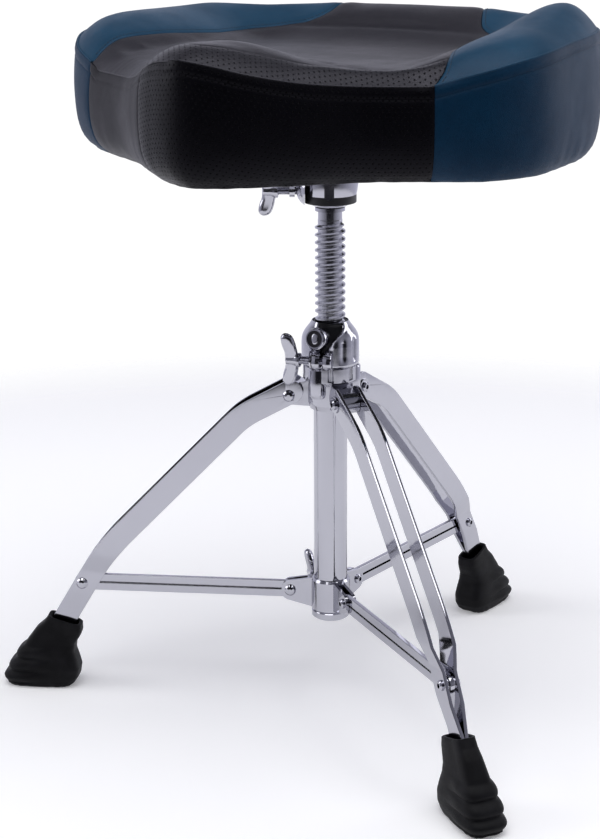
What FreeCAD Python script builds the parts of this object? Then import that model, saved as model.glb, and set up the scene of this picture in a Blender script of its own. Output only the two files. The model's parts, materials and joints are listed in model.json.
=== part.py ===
import FreeCAD, Part

import math
import os

import Sketcher
from FreeCAD import Placement, Rotation, Vector

# Drum throne: a double-braced folding tripod, a threaded height spindle and a saddle seat.
# Millimetres. The origin is on the floor, on the axis of the central tube. +Z is up and the
# front of the seat points towards -Y.

doc = FreeCAD.newDocument("drum_throne")
sheet = doc.addObject("Spreadsheet::Sheet", "dims")
nodes = []

Z_AXIS = Vector(0, 0, 1)


class Size(float):
    """A length that remembers the spreadsheet expression it comes from."""

    def __new__(cls, value, text):
        size = float.__new__(cls, value)
        size.text = text
        return size

    def joined(self, sign, other, value, swap=False):
        left, right = (words(other), self.text) if swap else (self.text, words(other))
        return Size(value, "(%s %s %s)" % (left, sign, right))

    def __add__(self, other):
        return self.joined("+", other, float(self) + float(other))

    def __radd__(self, other):
        return self.joined("+", other, float(self) + float(other), swap=True)

    def __sub__(self, other):
        return self.joined("-", other, float(self) - float(other))

    def __rsub__(self, other):
        return self.joined("-", other, float(other) - float(self), swap=True)

    def __mul__(self, other):
        return self.joined("*", other, float(self) * float(other))

    def __rmul__(self, other):
        return self.joined("*", other, float(self) * float(other), swap=True)

    def __truediv__(self, other):
        return self.joined("/", other, float(self) / float(other))

    def __neg__(self):
        return Size(-float(self), "(0 - %s)" % self.text)


def words(value):
    """The expression text of a size or of a plain number."""
    return value.text if isinstance(value, Size) else "%.6f" % float(value)


DRIVING = {
    # central tube and its castings
    "tube_od": 28.6,
    "tube_id": 25.8,
    "tube_foot": 76,
    "tube_head": 301,
    "hub_low": 263,
    "hub_high": 302,
    "hub_radius": 23,
    "nut_high": 338.5,
    "nut_radius": 24.2,
    # leg linkage: pivots as distance from the axis and height
    "hub_pivot_out": 34,
    "hub_pivot_up": 274.5,
    "collar_pivot_out": 34.8,
    "collar_pivot_up": 97.5,
    "leg_pivot_out": 218.6,
    "leg_pivot_up": 97.5,
    # legs: centre line corners, and the pair of flat bars
    "bar_width": 20,
    "bar_thick": 3,
    "bar_apart": 9.75,
    "bar_waist": 5,
    "bar_toe": 1.8,
    "leg_head_out": 32,
    "leg_head_up": 277.9,
    "leg_knee_out": 74,
    "leg_knee_up": 255,
    "leg_ankle_out": 197,
    "leg_ankle_up": 128.5,
    "leg_end_out": 250.5,
    "leg_end_up": 38,
    "stay_tall": 15,
    "stay_thick": 4,
    "lug_wide": 16,
    "ear_gap": 4.6,
    "ear_wide": 9.8,
    "rivet_shank": 6,
    "rivet_head": 10,
    "running_gap": 0.05,
    # height spindle
    "thread_od": 25.4,
    "thread_root": 20.4,
    "thread_pitch": 6.4,
    "spindle_low": 206,
    "thread_high": 423,
    "post_od": 20,
    "post_ring_od": 25,
    "bracket_low": 434,
    "bracket_high": 478,
    "bracket_radius": 23.5,
    # saddle seat
    "seat_low": 482,
    "seat_front": 225,
    "seat_rear": 163,
    "seat_half": 209,
    "dish_height": 558.5,
    "nose_rise": 24,
    "rear_rise": 29,
    "wing_rise": 31,
    "cover_thick": 2.5,
    "dust_cover_thick": 1.2,
    "board_thick": 12,
    "board_inset": 15.5,
    "plate_hole_reach": 40,
}

# Turns about the vertical axis, in degrees.
LEGS = {"rear": 90, "left": 210, "right": 330}
SEAT_TURN = 6.9
NUT_SLIT_TURN = 291.4
BADGE_TURN = 278
BRACKET_CLAMP_TURN = 216.4
BRACKET_FRONT_TURN = 304
COLLAR_SCREW_TURN = 152


def fill_sheet():
    """Write the driving dimensions and return them by name."""
    for row, (alias, value) in enumerate(DRIVING.items(), start=1):
        sheet.set("A%d" % row, alias)
        sheet.set("B%d" % row, str(value))
        sheet.setAlias("B%d" % row, alias)
    doc.recompute()
    return {alias: Size(value, "dims." + alias) for alias, value in DRIVING.items()}


dim = fill_sheet()


# ---------------------------------------------------------------- building tools


def bind(item, prop, value):
    """Set a property and, for a size, bind it to the sheet."""
    setattr(item, prop, float(value))
    if isinstance(value, Size):
        item.setExpression(prop, value.text)


def turned(degrees, out=0, up=0, across=0):
    """A placement at a distance from the axis, in the direction of an azimuth."""
    turn = Rotation(Z_AXIS, degrees)
    return Placement(turn.multVec(Vector(float(out), float(across), float(up))), turn)


def publish(name, item, placement=None):
    """Name a finished sub-part and put it in its place."""
    item.Label = name
    if placement is not None:
        item.Placement = placement
    nodes.append(item)
    return item


def new_body(name):
    return doc.addObject("PartDesign::Body", name)


def new_sketch(body, plane_role, offset=0):
    """A sketch on one of the body's own origin planes, moved along the plane's normal."""
    sketch = body.newObject("Sketcher::SketchObject", body.Name + "_sketch")
    plane = [item for item in body.Origin.OriginFeatures if item.Role == plane_role][0]
    sketch.AttachmentSupport = [(plane, "")]
    sketch.MapMode = "FlatFace"
    sketch.AttachmentOffset = Placement(Vector(0, 0, float(offset)), Rotation())
    if isinstance(offset, Size):
        sketch.setExpression("AttachmentOffset.Base.z", offset.text)
    return sketch


def pin(sketch, geometry, place, x, y):
    """Fix one point of a sketch at x and y, measured from the sketch's origin."""
    for kind, value in (("DistanceX", x), ("DistanceY", y)):
        rule = Sketcher.Constraint(kind, -1, 1, geometry, place, float(value))
        index = sketch.addConstraint(rule)
        if isinstance(value, Size):
            sketch.setExpression("Constraints[%d]" % index, value.text)


def fix_radius(sketch, geometry, radius):
    index = sketch.addConstraint(Sketcher.Constraint("Radius", geometry, float(radius)))
    if isinstance(radius, Size):
        sketch.setExpression("Constraints[%d]" % index, radius.text)


def corner_trim(before, corner, after, radius):
    """How far a round corner eats into its two sides."""
    to_before = (before - corner).normalize()
    to_after = (after - corner).normalize()
    half = to_before.getAngle(to_after) / 2
    return float(radius) / math.tan(half)


def draw_outline(sketch, corners):
    """A closed outline. Each corner is (x, y) or (x, y, radius)."""
    count = len(corners)
    points = [Vector(float(corner[0]), float(corner[1]), 0) for corner in corners]
    radii = [corner[2] if len(corner) > 2 else 0 for corner in corners]
    trims = []
    for i in range(count):
        neighbours = points[i - 1], points[i], points[(i + 1) % count]
        trims.append(corner_trim(*neighbours, radii[i]) if radii[i] else 0)
    lines = []
    for i in range(count):
        along = (points[(i + 1) % count] - points[i]).normalize()
        start = points[i] + along * trims[i]
        end = points[(i + 1) % count] - along * trims[(i + 1) % count]
        lines.append(sketch.addGeometry(Part.LineSegment(start, end), False))
    for i in range(count):
        before, after = lines[i - 1], lines[i]
        if not radii[i]:
            sketch.addConstraint(Sketcher.Constraint("Coincident", before, 2, after, 1))
            pin(sketch, after, 1, corners[i][0], corners[i][1])
            continue
        draw_round_corner(sketch, points, i, trims[i], radii[i], (before, after), corners[i])


def draw_round_corner(sketch, points, i, trim, radius, sides, corner):
    """The arc of one round corner, tangent to both of its sides."""
    before, after = sides
    back = (points[i - 1] - points[i]).normalize()
    ahead = (points[(i + 1) % len(points)] - points[i]).normalize()
    start = points[i] + back * trim
    end = points[i] + ahead * trim
    towards = (back + ahead).normalize()
    middle_distance = math.hypot(trim, float(radius))
    centre = points[i] + towards * middle_distance
    middle = centre - towards * float(radius)
    arc = sketch.addGeometry(Part.Arc(start, middle, end), False)
    left_turn = back.cross(ahead).z < 0
    first, last = (1, 2) if left_turn else (2, 1)
    mark = sketch.addGeometry(Part.Point(points[i]), True)
    pin(sketch, mark, 1, corner[0], corner[1])
    sketch.addConstraint(Sketcher.Constraint("PointOnObject", mark, 1, before))
    sketch.addConstraint(Sketcher.Constraint("PointOnObject", mark, 1, after))
    sketch.addConstraint(Sketcher.Constraint("Tangent", before, 2, arc, first))
    sketch.addConstraint(Sketcher.Constraint("Tangent", after, 1, arc, last))
    fix_radius(sketch, arc, radius)


def draw_circle(sketch, x, y, radius):
    centre = Vector(float(x), float(y), 0)
    circle = sketch.addGeometry(Part.Circle(centre, Z_AXIS, float(radius)), False)
    pin(sketch, circle, 3, x, y)
    fix_radius(sketch, circle, radius)


def pad(body, sketch, length, both_ways=False):
    feature = body.newObject("PartDesign::Pad", body.Name + "_pad")
    feature.Profile = sketch
    bind(feature, "Length", length)
    feature.Midplane = both_ways
    return feature


def pocket(body, sketch, length, both_ways=True):
    feature = body.newObject("PartDesign::Pocket", body.Name + "_pocket")
    feature.Profile = sketch
    bind(feature, "Length", length)
    feature.Midplane = both_ways
    return feature


def revolve(body, sketch, axis="V_Axis"):
    feature = body.newObject("PartDesign::Revolution", body.Name + "_turned")
    feature.Profile = sketch
    feature.ReferenceAxis = (sketch, [axis])
    feature.Angle = 360
    return feature


def pattern_about_tube(body, features, count=3):
    """Repeat features evenly about the tube's axis."""
    feature = body.newObject("PartDesign::PolarPattern", body.Name + "_pattern")
    feature.Originals = features
    axis = [item for item in body.Origin.OriginFeatures if item.Role == "Z_Axis"][0]
    feature.Axis = (axis, [""])
    feature.Angle = 360
    feature.Occurrences = count
    body.Tip = feature
    return feature


def turned_body(name, profile):
    """A round piece: its profile is (radius, height) corners, turned about the Z axis."""
    body = new_body(name)
    sketch = new_sketch(body, "XZ_Plane")
    draw_outline(sketch, profile)
    revolve(body, sketch)
    return body


def plate_body(name, plane_role, corners, thickness, holes=()):
    """A flat piece, as thick on one side of its plane as on the other."""
    body = new_body(name)
    sketch = new_sketch(body, plane_role)
    draw_outline(sketch, corners)
    for x, y, radius in holes:
        draw_circle(sketch, x, y, radius)
    pad(body, sketch, thickness, both_ways=True)
    return body


def cylinder(name, radius, height, placement=None):
    item = doc.addObject("Part::Cylinder", name)
    bind(item, "Radius", radius)
    bind(item, "Height", height)
    if placement is not None:
        item.Placement = placement
    return item


def box(name, length, width, height, placement):
    item = doc.addObject("Part::Box", name)
    bind(item, "Length", length)
    bind(item, "Width", width)
    bind(item, "Height", height)
    item.Placement = placement
    return item


def boolean(kind, name, base, tool):
    item = doc.addObject("Part::" + kind, name)
    item.Base = base
    item.Tool = tool
    return item


def fuse_all(name, pieces):
    item = doc.addObject("Part::MultiFuse", name)
    item.Shapes = pieces
    return item


def group_of(name, pieces):
    """Several separate solids that share one node."""
    item = doc.addObject("Part::Compound", name)
    item.Links = pieces
    return item


def along(direction, place):
    """A placement that points a piece's Z axis along a direction."""
    return Placement(Vector(*place), Rotation(Z_AXIS, Vector(*direction)))


# ---------------------------------------------------------------- central tube


def make_outer_tube():
    inner = dim["tube_id"] / 2
    outer = dim["tube_od"] / 2
    low, high = dim["tube_foot"], dim["tube_head"]
    corners = [(inner, low), (outer, low), (outer, high), (inner, high)]
    publish("outer_tube", turned_body("outer_tube", corners))


def make_tube_end_ring():
    """Stop ring pressed on the tube's lower end, which keeps the collar on."""
    outer = dim["tube_od"] / 2
    low = dim["tube_foot"] - 2
    corners = [
        (outer - 3.3, low),
        (outer + 0.7, low),
        (outer + 2.2, low + 1.5),
        (outer + 2.2, low + 6),
        (outer + 0.8, low + 7.5),
        (outer, low + 7.5),
        (outer, low + 2),
        (outer - 3.3, low + 2),
    ]
    publish("tube_end_ring", turned_body("tube_end_ring", corners))


def make_leg_hub():
    """Casting at the head of the tube with three lugs that the legs hinge on."""
    body = new_body("leg_hub")
    sketch = new_sketch(body, "XZ_Plane")
    bore = dim["tube_od"] / 2
    low, high, radius = dim["hub_low"], dim["hub_high"], dim["hub_radius"]
    profile = [
        (bore, low),
        (bore + 3.2, low),
        (bore + 5.4, low + 6),
        (bore + 5.4, low + 22),
        (radius, low + 26),
        (radius, high - 1.5),
        (radius - 1.5, high),
        (bore, high),
    ]
    draw_outline(sketch, profile)
    revolve(body, sketch)

    lug = new_sketch(body, "XZ_Plane")
    out, up = dim["hub_pivot_out"], dim["hub_pivot_up"]
    corners = [
        (bore + 1, up - 9.5),
        (out + 8, up - 8, 7.8),
        (out + 8, up + 8, 7.8),
        (bore + 1, up + 13),
    ]
    draw_outline(lug, corners)
    draw_circle(lug, out, up, dim["rivet_shank"] / 2 + dim["running_gap"])
    lug_pad = pad(body, lug, dim["lug_wide"], both_ways=True)
    pattern_about_tube(body, [lug_pad])

    groove = new_sketch(body, "XY_Plane", high - 12)
    for side in (-1, 1):
        angle = math.radians(side * 24)
        place = radius + 0.6
        draw_circle(groove, place * math.cos(angle), place * math.sin(angle), 2.4)
    groove_cut = pocket(body, groove, 30, both_ways=False)
    groove_cut.Reversed = True
    pattern_about_tube(body, [groove_cut])
    publish("leg_hub", body, turned(LEGS["rear"]))


def make_height_nut():
    """Split casting that clamps the threaded spindle, with a round boss for a badge."""
    radius, low, high = dim["nut_radius"], dim["hub_high"], dim["nut_high"]
    profile = [
        (13.4, low),
        (radius, low),
        (radius, high - 11, 14),
        (16.6, high - 0.6),
        (15.2, high),
        (15, high),
        (15, low + 13),
        (13.4, low + 13),
    ]
    dome = turned_body("nut_dome", profile)
    boss = cylinder("nut_badge_boss", 9.6, 13)
    boss.Placement = badge_place(14)
    ears_place = turned(NUT_SLIT_TURN, 14, low + 0.4, -8.5)
    ears = box("nut_clamp_ears", 19, 17, 14.5, ears_place)
    solid = fuse_all("nut_solid", [dome, boss, ears])

    bore = cylinder("nut_bore", 13.4, 40, turned(0, 0, low - 1))
    seat = cylinder("nut_insert_seat", 15, 30, turned(0, 0, low + 13))
    slit = box("nut_slit", 30, 2.5, 60, turned(NUT_SLIT_TURN, 10, low - 5, -1.25))
    window = box("nut_window", 30, 15, 22, turned(NUT_SLIT_TURN, 12, low + 15.5, -0.5))
    bolt_way = cylinder("nut_bolt_way", 3.55, 50)
    bolt_way.Placement = nut_bolt_place(-25)
    spot_face = cylinder("nut_spot_face", 7, 12)
    spot_face.Placement = nut_bolt_place(8.5)
    holes = fuse_all("nut_holes", [bore, seat, slit, window, bolt_way, spot_face])
    publish("height_nut", boolean("Cut", "height_nut", solid, holes))


def badge_place(out):
    """Where the badge boss leaves the nut, tilted a little upwards."""
    turn = math.radians(BADGE_TURN)
    tilt = math.radians(10)
    direction = (math.cos(turn) * math.cos(tilt), math.sin(turn) * math.cos(tilt), math.sin(tilt))
    up = float(dim["nut_high"]) - 11.2 + (out - 25) * math.tan(tilt)
    return along(direction, (out * math.cos(turn), out * math.sin(turn), up))


def nut_bolt_place(start):
    """The nut's clamp bolt crosses the slit; start is measured from the slit."""
    turn = Rotation(Z_AXIS, NUT_SLIT_TURN)
    point = turn.multVec(Vector(27, -start, float(dim["hub_high"]) + 7.2))
    direction = turn.multVec(Vector(0, -1, 0))
    return along(tuple(direction), tuple(point))


def make_nut_insert():
    """Threaded nylon ring inside the height nut."""
    low, high = dim["hub_high"] + 13, dim["nut_high"] - 0.6
    bore = dim["thread_od"] / 2 + 0.08
    corners = [(bore, low), (14.95, low), (14.95, high - 1), (13.95, high), (bore, high)]
    publish("nut_insert", turned_body("nut_insert", corners))


def make_badge():
    """Plain round badge on the height nut: a ring and a blank centre."""
    ring = turned_body("badge_ring", [(7, 0), (8.6, 0), (8.6, 0.9), (8.1, 1.4), (7, 1.4)])
    publish("badge_ring", ring, badge_place(27))
    disc = turned_body("badge_disc", [(0, 0), (6.95, 0), (6.95, 0.6), (0, 0.6)])
    publish("badge_disc", disc, badge_place(27))


# ---------------------------------------------------------------- tripod


def unit(run, rise):
    length = math.hypot(run, rise)
    return run / length, rise / length


def leg_centre_line():
    names = ("head", "knee", "ankle", "end")
    return [(dim["leg_%s_out" % name], dim["leg_%s_up" % name]) for name in names]


def leg_outline(half_width, extra):
    """Outline of a leg bar beside its bent centre line, lengthened by extra at its head."""
    line = leg_centre_line()
    runs = [unit(float(b[0] - a[0]), float(b[1] - a[1])) for a, b in zip(line, line[1:])]
    head = line[0][0] - runs[0][0] * extra, line[0][1] - runs[0][1] * extra
    stations = [head] + line[1:]
    sides = {1: [], -1: []}
    for i, (out, up) in enumerate(stations):
        before = runs[max(i - 1, 0)]
        after = runs[min(i, len(runs) - 1)]
        normal = unit(before[1] + after[1], -before[0] - after[0])
        stretch = 1 / (normal[0] * after[1] - normal[1] * after[0])
        for side in sides:
            reach = half_width * (side * stretch)
            sides[side].append((out - reach * normal[0], up - reach * normal[1]))
    return sides[1], sides[-1]


def bar_strip(side):
    """Where the bar lies across the leg, from its head down: height and middle of the bar."""
    pivot = dim["leg_pivot_up"]
    apart, waist, toe = dim["bar_apart"], dim["bar_waist"], dim["bar_toe"]
    heights = [(300, apart), (pivot + 28, apart), (pivot + 11, waist)]
    heights += [(pivot - 11, waist), (pivot - 33, toe), (20, toe)]
    return [(side * middle, height) for height, middle in heights]


def make_leg_bar(name, side, azimuth):
    """One of the two flat bars of a leg. It is bent in plan and in elevation."""
    body = new_body(name)
    top, bottom = leg_outline(dim["bar_width"] / 2, 9.9)
    round_end = dim["bar_width"] / 2 - 0.1
    knee, ankle = 75, 215
    half = dim["bar_width"] / 2
    corners = [
        (*top[0], round_end),
        (*top[1], knee + half),
        (*top[2], ankle + half),
        top[3],
        bottom[3],
        (*bottom[2], ankle - half),
        (*bottom[1], knee - half),
        (*bottom[0], round_end),
    ]
    sketch = new_sketch(body, "XZ_Plane")
    draw_outline(sketch, corners)
    draw_circle(sketch, dim["hub_pivot_out"], dim["hub_pivot_up"], dim["rivet_shank"] / 2)
    draw_circle(sketch, dim["leg_pivot_out"], dim["leg_pivot_up"], dim["rivet_shank"] / 2)
    pad(body, sketch, 30, both_ways=True)

    waste = new_sketch(body, "YZ_Plane")
    strip = bar_strip(side)
    offset = dim["bar_thick"] / 2
    for edge in (-1, 1):
        face = [(middle + offset * edge, height) for middle, height in strip]
        draw_outline(waste, face + [(edge * 40, 20), (edge * 40, 300)])
    pocket(body, waste, 700)
    publish(name, body, turned(azimuth))


def make_leg_foot(name, azimuth):
    """Moulded rubber foot with a stepped toe, slotted for the ends of both bars."""
    body = new_body(name)
    side_view = [
        (237, 0),
        (283, 0),
        (294, 5, 2.5),
        (293.5, 12.5),
        (289, 18, 1.5),
        (288.4, 24),
        (282.5, 29, 1.5),
        (281.6, 35),
        (275, 38.5, 1.5),
        (273.5, 42),
        (262, 53, 12),
        (250.8, 65),
        (221.8, 56.5),
        (228, 42, 8),
        (226.5, 34, 6),
        (224, 18, 6),
        (231, 5, 5),
    ]
    sketch = new_sketch(body, "XZ_Plane")
    draw_outline(sketch, side_view)
    pad(body, sketch, 40, both_ways=True)
    waste = new_sketch(body, "YZ_Plane")
    half_widths = [(17, 0), (17.4, 14), (15.5, 30), (11.5, 48), (9.4, 72)]
    for side in (-1, 1):
        edge = [(side * half, height) for half, height in half_widths]
        draw_outline(waste, [(side * 16, -2)] + edge + [(side * 30, 72), (side * 30, -2)])
    pocket(body, waste, 700)

    slot = new_sketch(body, "XZ_Plane")
    top, bottom = leg_outline(dim["bar_width"] / 2 + 0.15, 0)
    run = unit(float(top[3][0] - top[2][0]), float(top[3][1] - top[2][1]))
    start = 40
    low = [(point[0] + run[0] * 0.2, point[1] + run[1] * 0.2) for point in (top[3], bottom[3])]
    high = [(point[0] - run[0] * start, point[1] - run[1] * start) for point in low]
    draw_outline(slot, [low[0], low[1], high[1], high[0]])
    pocket(body, slot, dim["bar_toe"] * 2 + dim["bar_thick"] + 0.3)
    publish(name, body, turned(azimuth))


def rivet(name, inner, outer, azimuth, out, up, hollow=False, head=None, washer=False):
    """A rivet along Y between two faces: a domed head, or a flared hollow end."""
    shank = dim["rivet_shank"] / 2
    head_radius = (head if head is not None else dim["rivet_head"]) / 2
    side = 1 if outer > inner else -1
    body = new_body(name)
    sketch = new_sketch(body, "XY_Plane")
    reach = [(0, inner), (shank, inner), (shank, outer)]
    if washer:
        reach += [(7, outer), (7, outer + side * 1), (head_radius, outer + side * 1)]
        outer = outer + side * 1
    if hollow:
        rim = outer + side * 2.3
        reach += [(head_radius, outer), (head_radius, outer + side * 1.2), (3, rim), (2, rim)]
        reach += [(2, outer - side * 2), (0, outer - side * 2)]
    else:
        top = outer + side * 2.8
        reach += [(head_radius, outer), (head_radius, outer + side * 0.7)]
        reach += [(head_radius * 0.72, outer + side * 2.2), (head_radius * 0.3, top), (0, top)]
    clean = [reach[0]]
    for corner in reach[1:]:
        if corner[0] != clean[-1][0] or corner[1] != clean[-1][1]:
            clean.append(corner)
    draw_outline(sketch, clean)
    revolve(body, sketch)
    body.Placement = turned(azimuth, out, up)
    return body


def make_hub_rivet(name, azimuth):
    """Rivet that a leg hinges on: a head on one side, a washer and hollow end on the other."""
    face = dim["bar_apart"] + dim["bar_thick"] / 2
    place = (azimuth, dim["hub_pivot_out"], dim["hub_pivot_up"])
    halves = [
        rivet(name + "_head", 0, face, *place),
        rivet(name + "_tail", 0, -face, *place, hollow=True, head=8.5, washer=True),
    ]
    publish(name, fuse_all(name, halves))


def make_stay_rivet(name, azimuth):
    """Studs of the stay pivot, one on each bar, with a washer inside each bar."""
    face = dim["bar_waist"] + dim["bar_thick"] / 2
    gap = dim["ear_gap"] / 2
    place = (azimuth, dim["leg_pivot_out"], dim["leg_pivot_up"])
    inside = dim["bar_waist"] - dim["bar_thick"] / 2
    pieces = []
    for side, hollow in ((1, False), (-1, True)):
        stud_name = "%s_stud_%s" % (name, "b" if hollow else "a")
        head = 8.5 if hollow else None
        stud = rivet(stud_name, side * gap, side * face, *place, hollow=hollow, head=head)
        washer = cylinder(stud_name + "_washer", 6, inside - gap)
        low = side * gap if side > 0 else -inside
        turn = Rotation(Z_AXIS, azimuth)
        place_low = turn.multVec(Vector(float(place[1]), float(low), float(place[2])))
        washer.Placement = along(tuple(turn.multVec(Vector(0, 1, 0))), tuple(place_low))
        pieces.append(fuse_all(stud_name + "_pair", [stud, washer]))
    publish(name, group_of(name, pieces))


def make_stay(name, azimuth):
    """Flat brace from the sliding collar to the leg."""
    inner, outer = dim["collar_pivot_out"], dim["leg_pivot_out"]
    up = dim["collar_pivot_up"]
    half = dim["stay_tall"] / 2
    radius = half - 0.05
    corners = [
        (inner - half, up - half, radius),
        (outer + half, up - half, radius),
        (outer + half, up + half, radius),
        (inner - half, up + half, radius),
    ]
    shank = dim["rivet_shank"] / 2
    holes = [(inner, up, shank + dim["running_gap"]), (outer, up, shank)]
    body = plate_body(name, "XZ_Plane", corners, dim["stay_thick"], holes)
    publish(name, body, turned(azimuth))


def make_lower_collar():
    """Sliding collar with three forked ears for the stays."""
    body = new_body("collar_casting")
    sketch = new_sketch(body, "XZ_Plane")
    bore = dim["tube_od"] / 2 + dim["running_gap"]
    up = dim["collar_pivot_up"]
    wall = dim["tube_od"] / 2 + 2.5
    low, high = up - 15.3, up + 12.6
    draw_outline(sketch, [(bore, low), (wall, low), (wall, high - 2), (wall - 1.5, high), (bore, high)])
    revolve(body, sketch)

    ear = new_sketch(body, "XZ_Plane")
    tip = dim["collar_pivot_out"] + 7.5
    corners = [(15, low + 0.5), (tip, up - 7.5, 7.4), (tip, up + 7.5, 7.4), (15, high - 0.6)]
    draw_outline(ear, corners)
    draw_circle(ear, dim["collar_pivot_out"], up, dim["rivet_shank"] / 2)
    ear_pad = pad(body, ear, dim["ear_wide"], both_ways=True)
    fork = new_sketch(body, "XZ_Plane")
    draw_outline(fork, [(20, low - 2), (60, low - 2), (60, high + 2), (20, high + 2)])
    fork_cut = pocket(body, fork, dim["ear_gap"])
    pattern_about_tube(body, [ear_pad, fork_cut])
    add_screw_boss(body, up)


def add_screw_boss(body, up):
    """Give the collar the boss and bore of its wing screw, and name it."""
    body.Placement = turned(LEGS["rear"])
    boss = cylinder("collar_boss", 6, 9)
    boss.Placement = collar_screw_place(15)
    solid = boolean("Fuse", "collar_solid", body, boss)
    tube_way = cylinder("collar_tube_way", dim["tube_od"] / 2 + dim["running_gap"], 40)
    tube_way.Placement = turned(0, 0, up - 20)
    screw_way = cylinder("collar_screw_way", 3.05, 30)
    screw_way.Placement = collar_screw_place(10)
    holes = boolean("Fuse", "collar_holes", tube_way, screw_way)
    publish("lower_collar", boolean("Cut", "lower_collar", solid, holes))


def collar_screw_place(out):
    turn = math.radians(COLLAR_SCREW_TURN)
    direction = (math.cos(turn), math.sin(turn), 0)
    place = (out * direction[0], out * direction[1], float(dim["collar_pivot_up"]) + 3.5)
    return along(direction, place)


def make_collar_rivets():
    pieces = []
    face = dim["ear_wide"] / 2
    for leg, azimuth in LEGS.items():
        place = (azimuth, dim["collar_pivot_out"], dim["collar_pivot_up"])
        name = "collar_rivet_" + leg
        head = rivet(name + "_head", 0, face, *place)
        tail = rivet(name + "_tail", 0, -face, *place, hollow=True, head=8.5)
        pieces.append(fuse_all(name, [head, tail]))
    publish("collar_rivets", group_of("collar_rivets", pieces))


def wing_bolt(name, shank_radius, shank_length, placement, span=46, lobe=9.5):
    """A bolt along Z with a wing head. Z = 0 is the tip of its shank."""
    body = new_body(name)
    sketch = new_sketch(body, "XZ_Plane")
    foot = shank_length
    profile = [
        (0, 0),
        (shank_radius, 0),
        (shank_radius, foot),
        (5.2, foot),
        (6.2, foot + 2),
        (4.6, foot + 11),
        (0, foot + 12),
    ]
    draw_outline(sketch, profile)
    revolve(body, sketch)
    wing = new_sketch(body, "XZ_Plane")
    half = span / 2
    corners = [
        (-half * 0.3, foot + 2.5),
        (half * 0.3, foot + 2.5),
        (half, foot + 5.5, 3.5),
        (half, foot + 5.5 + lobe, 4.2),
        (half * 0.62, foot + 4.5 + lobe, 5),
        (half * 0.22, foot + 10),
        (-half * 0.22, foot + 10),
        (-half * 0.62, foot + 4.5 + lobe, 5),
        (-half, foot + 5.5 + lobe, 4.2),
        (-half, foot + 5.5, 3.5),
    ]
    draw_outline(wing, corners)
    pad(body, wing, 4.5, both_ways=True)
    return publish(name, body, placement)


def upright(placement):
    """Turn a wing bolt about its own axis until its wings stand upright."""
    wing = placement.Rotation.multVec(Vector(1, 0, 0))
    side = placement.Rotation.multVec(Vector(0, 1, 0))
    turn = math.degrees(math.atan2(side.z, wing.z))
    return Placement(placement.Base, placement.Rotation * Rotation(Z_AXIS, turn))


def make_wing_bolts():
    wing_bolt("height_wing_bolt", 3.5, 27, upright(nut_bolt_place(-8)))
    washer = turned_body("height_bolt_washer", [(3.55, 0), (6.5, 0), (6.5, 1.5), (3.55, 1.5)])
    publish("height_bolt_washer", washer, nut_bolt_place(8.55))
    screw = upright(collar_screw_place(float(dim["tube_od"]) / 2 + 0.35))
    wing_bolt("collar_wing_screw", 3, 14, screw, span=42)


# ---------------------------------------------------------------- height spindle


def make_spindle():
    """Threaded spindle with a plain post at its head for the seat bracket."""
    body = new_body("threaded_spindle")
    root, crest = dim["thread_root"] / 2, dim["thread_od"] / 2
    post, ring = dim["post_od"] / 2, dim["post_ring_od"] / 2
    low, high = dim["spindle_low"], dim["thread_high"]
    seat = dim["bracket_low"]
    profile = [
        (0, low),
        (root - 1.5, low),
        (root, low + 2),
        (root, high),
        (post, high + 0.5),
        (post, seat - 4),
        (ring, seat - 3.4),
        (ring, seat - 0.5),
        (post, seat - 0.1),
        (post, seat + 33),
        (post - 1.5, seat + 34.5),
        (0, seat + 34.5),
    ]
    sketch = new_sketch(body, "XZ_Plane")
    draw_outline(sketch, profile)
    revolve(body, sketch)
    tooth = new_sketch(body, "XZ_Plane")
    bottom = low + 6
    corners = [
        (root - 0.2, bottom),
        (crest, bottom + 1.6),
        (crest, bottom + 3),
        (root - 0.2, bottom + 4.6),
    ]
    draw_outline(tooth, corners)
    thread = body.newObject("PartDesign::AdditiveHelix", "thread")
    thread.Profile = tooth
    thread.ReferenceAxis = (tooth, ["V_Axis"])
    thread.Mode = 0
    bind(thread, "Pitch", dim["thread_pitch"])
    bind(thread, "Height", high - low - 12)
    publish("threaded_spindle", body)


def make_spindle_guide():
    """Nylon bush that guides the lower end of the spindle inside the tube."""
    low = dim["spindle_low"]
    outer = dim["tube_id"] / 2 - dim["running_gap"]
    corners = [(4, low - 16), (outer, low - 16), (outer, low - 0.3), (4, low - 0.3)]
    publish("spindle_guide", turned_body("spindle_guide", corners))


# ---------------------------------------------------------------- seat bracket


def bracket_clamp_way(name, radius, start, length):
    turn = Rotation(Z_AXIS, BRACKET_CLAMP_TURN)
    point = turn.multVec(Vector(start, 0, float(dim["bracket_low"]) + 13))
    return cylinder(name, radius, length, along(tuple(turn.multVec(Vector(1, 0, 0))), tuple(point)))


def make_seat_bracket():
    """Cast socket under the seat, which turns on the spindle's post."""
    low, high, radius = dim["bracket_low"], dim["bracket_high"], dim["bracket_radius"]
    bore = dim["post_od"] / 2 + dim["running_gap"]
    profile = [
        (bore, low),
        (12.4, low),
        (18.4, low + 3.5),
        (20, low + 5.5),
        (21.5, low + 12),
        (radius, low + 18),
        (radius, high),
        (bore, high),
    ]
    socket = turned_body("bracket_socket", profile)
    window = box("bracket_window", 30, 60, 30, turned(BRACKET_CLAMP_TURN, 16.4, low - 4, -30))
    way = bracket_clamp_way("bracket_screw_way", 3.6, 5, 40)
    waste = boolean("Fuse", "bracket_waste", window, way)
    publish("seat_bracket", boolean("Cut", "seat_bracket", socket, waste))


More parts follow.
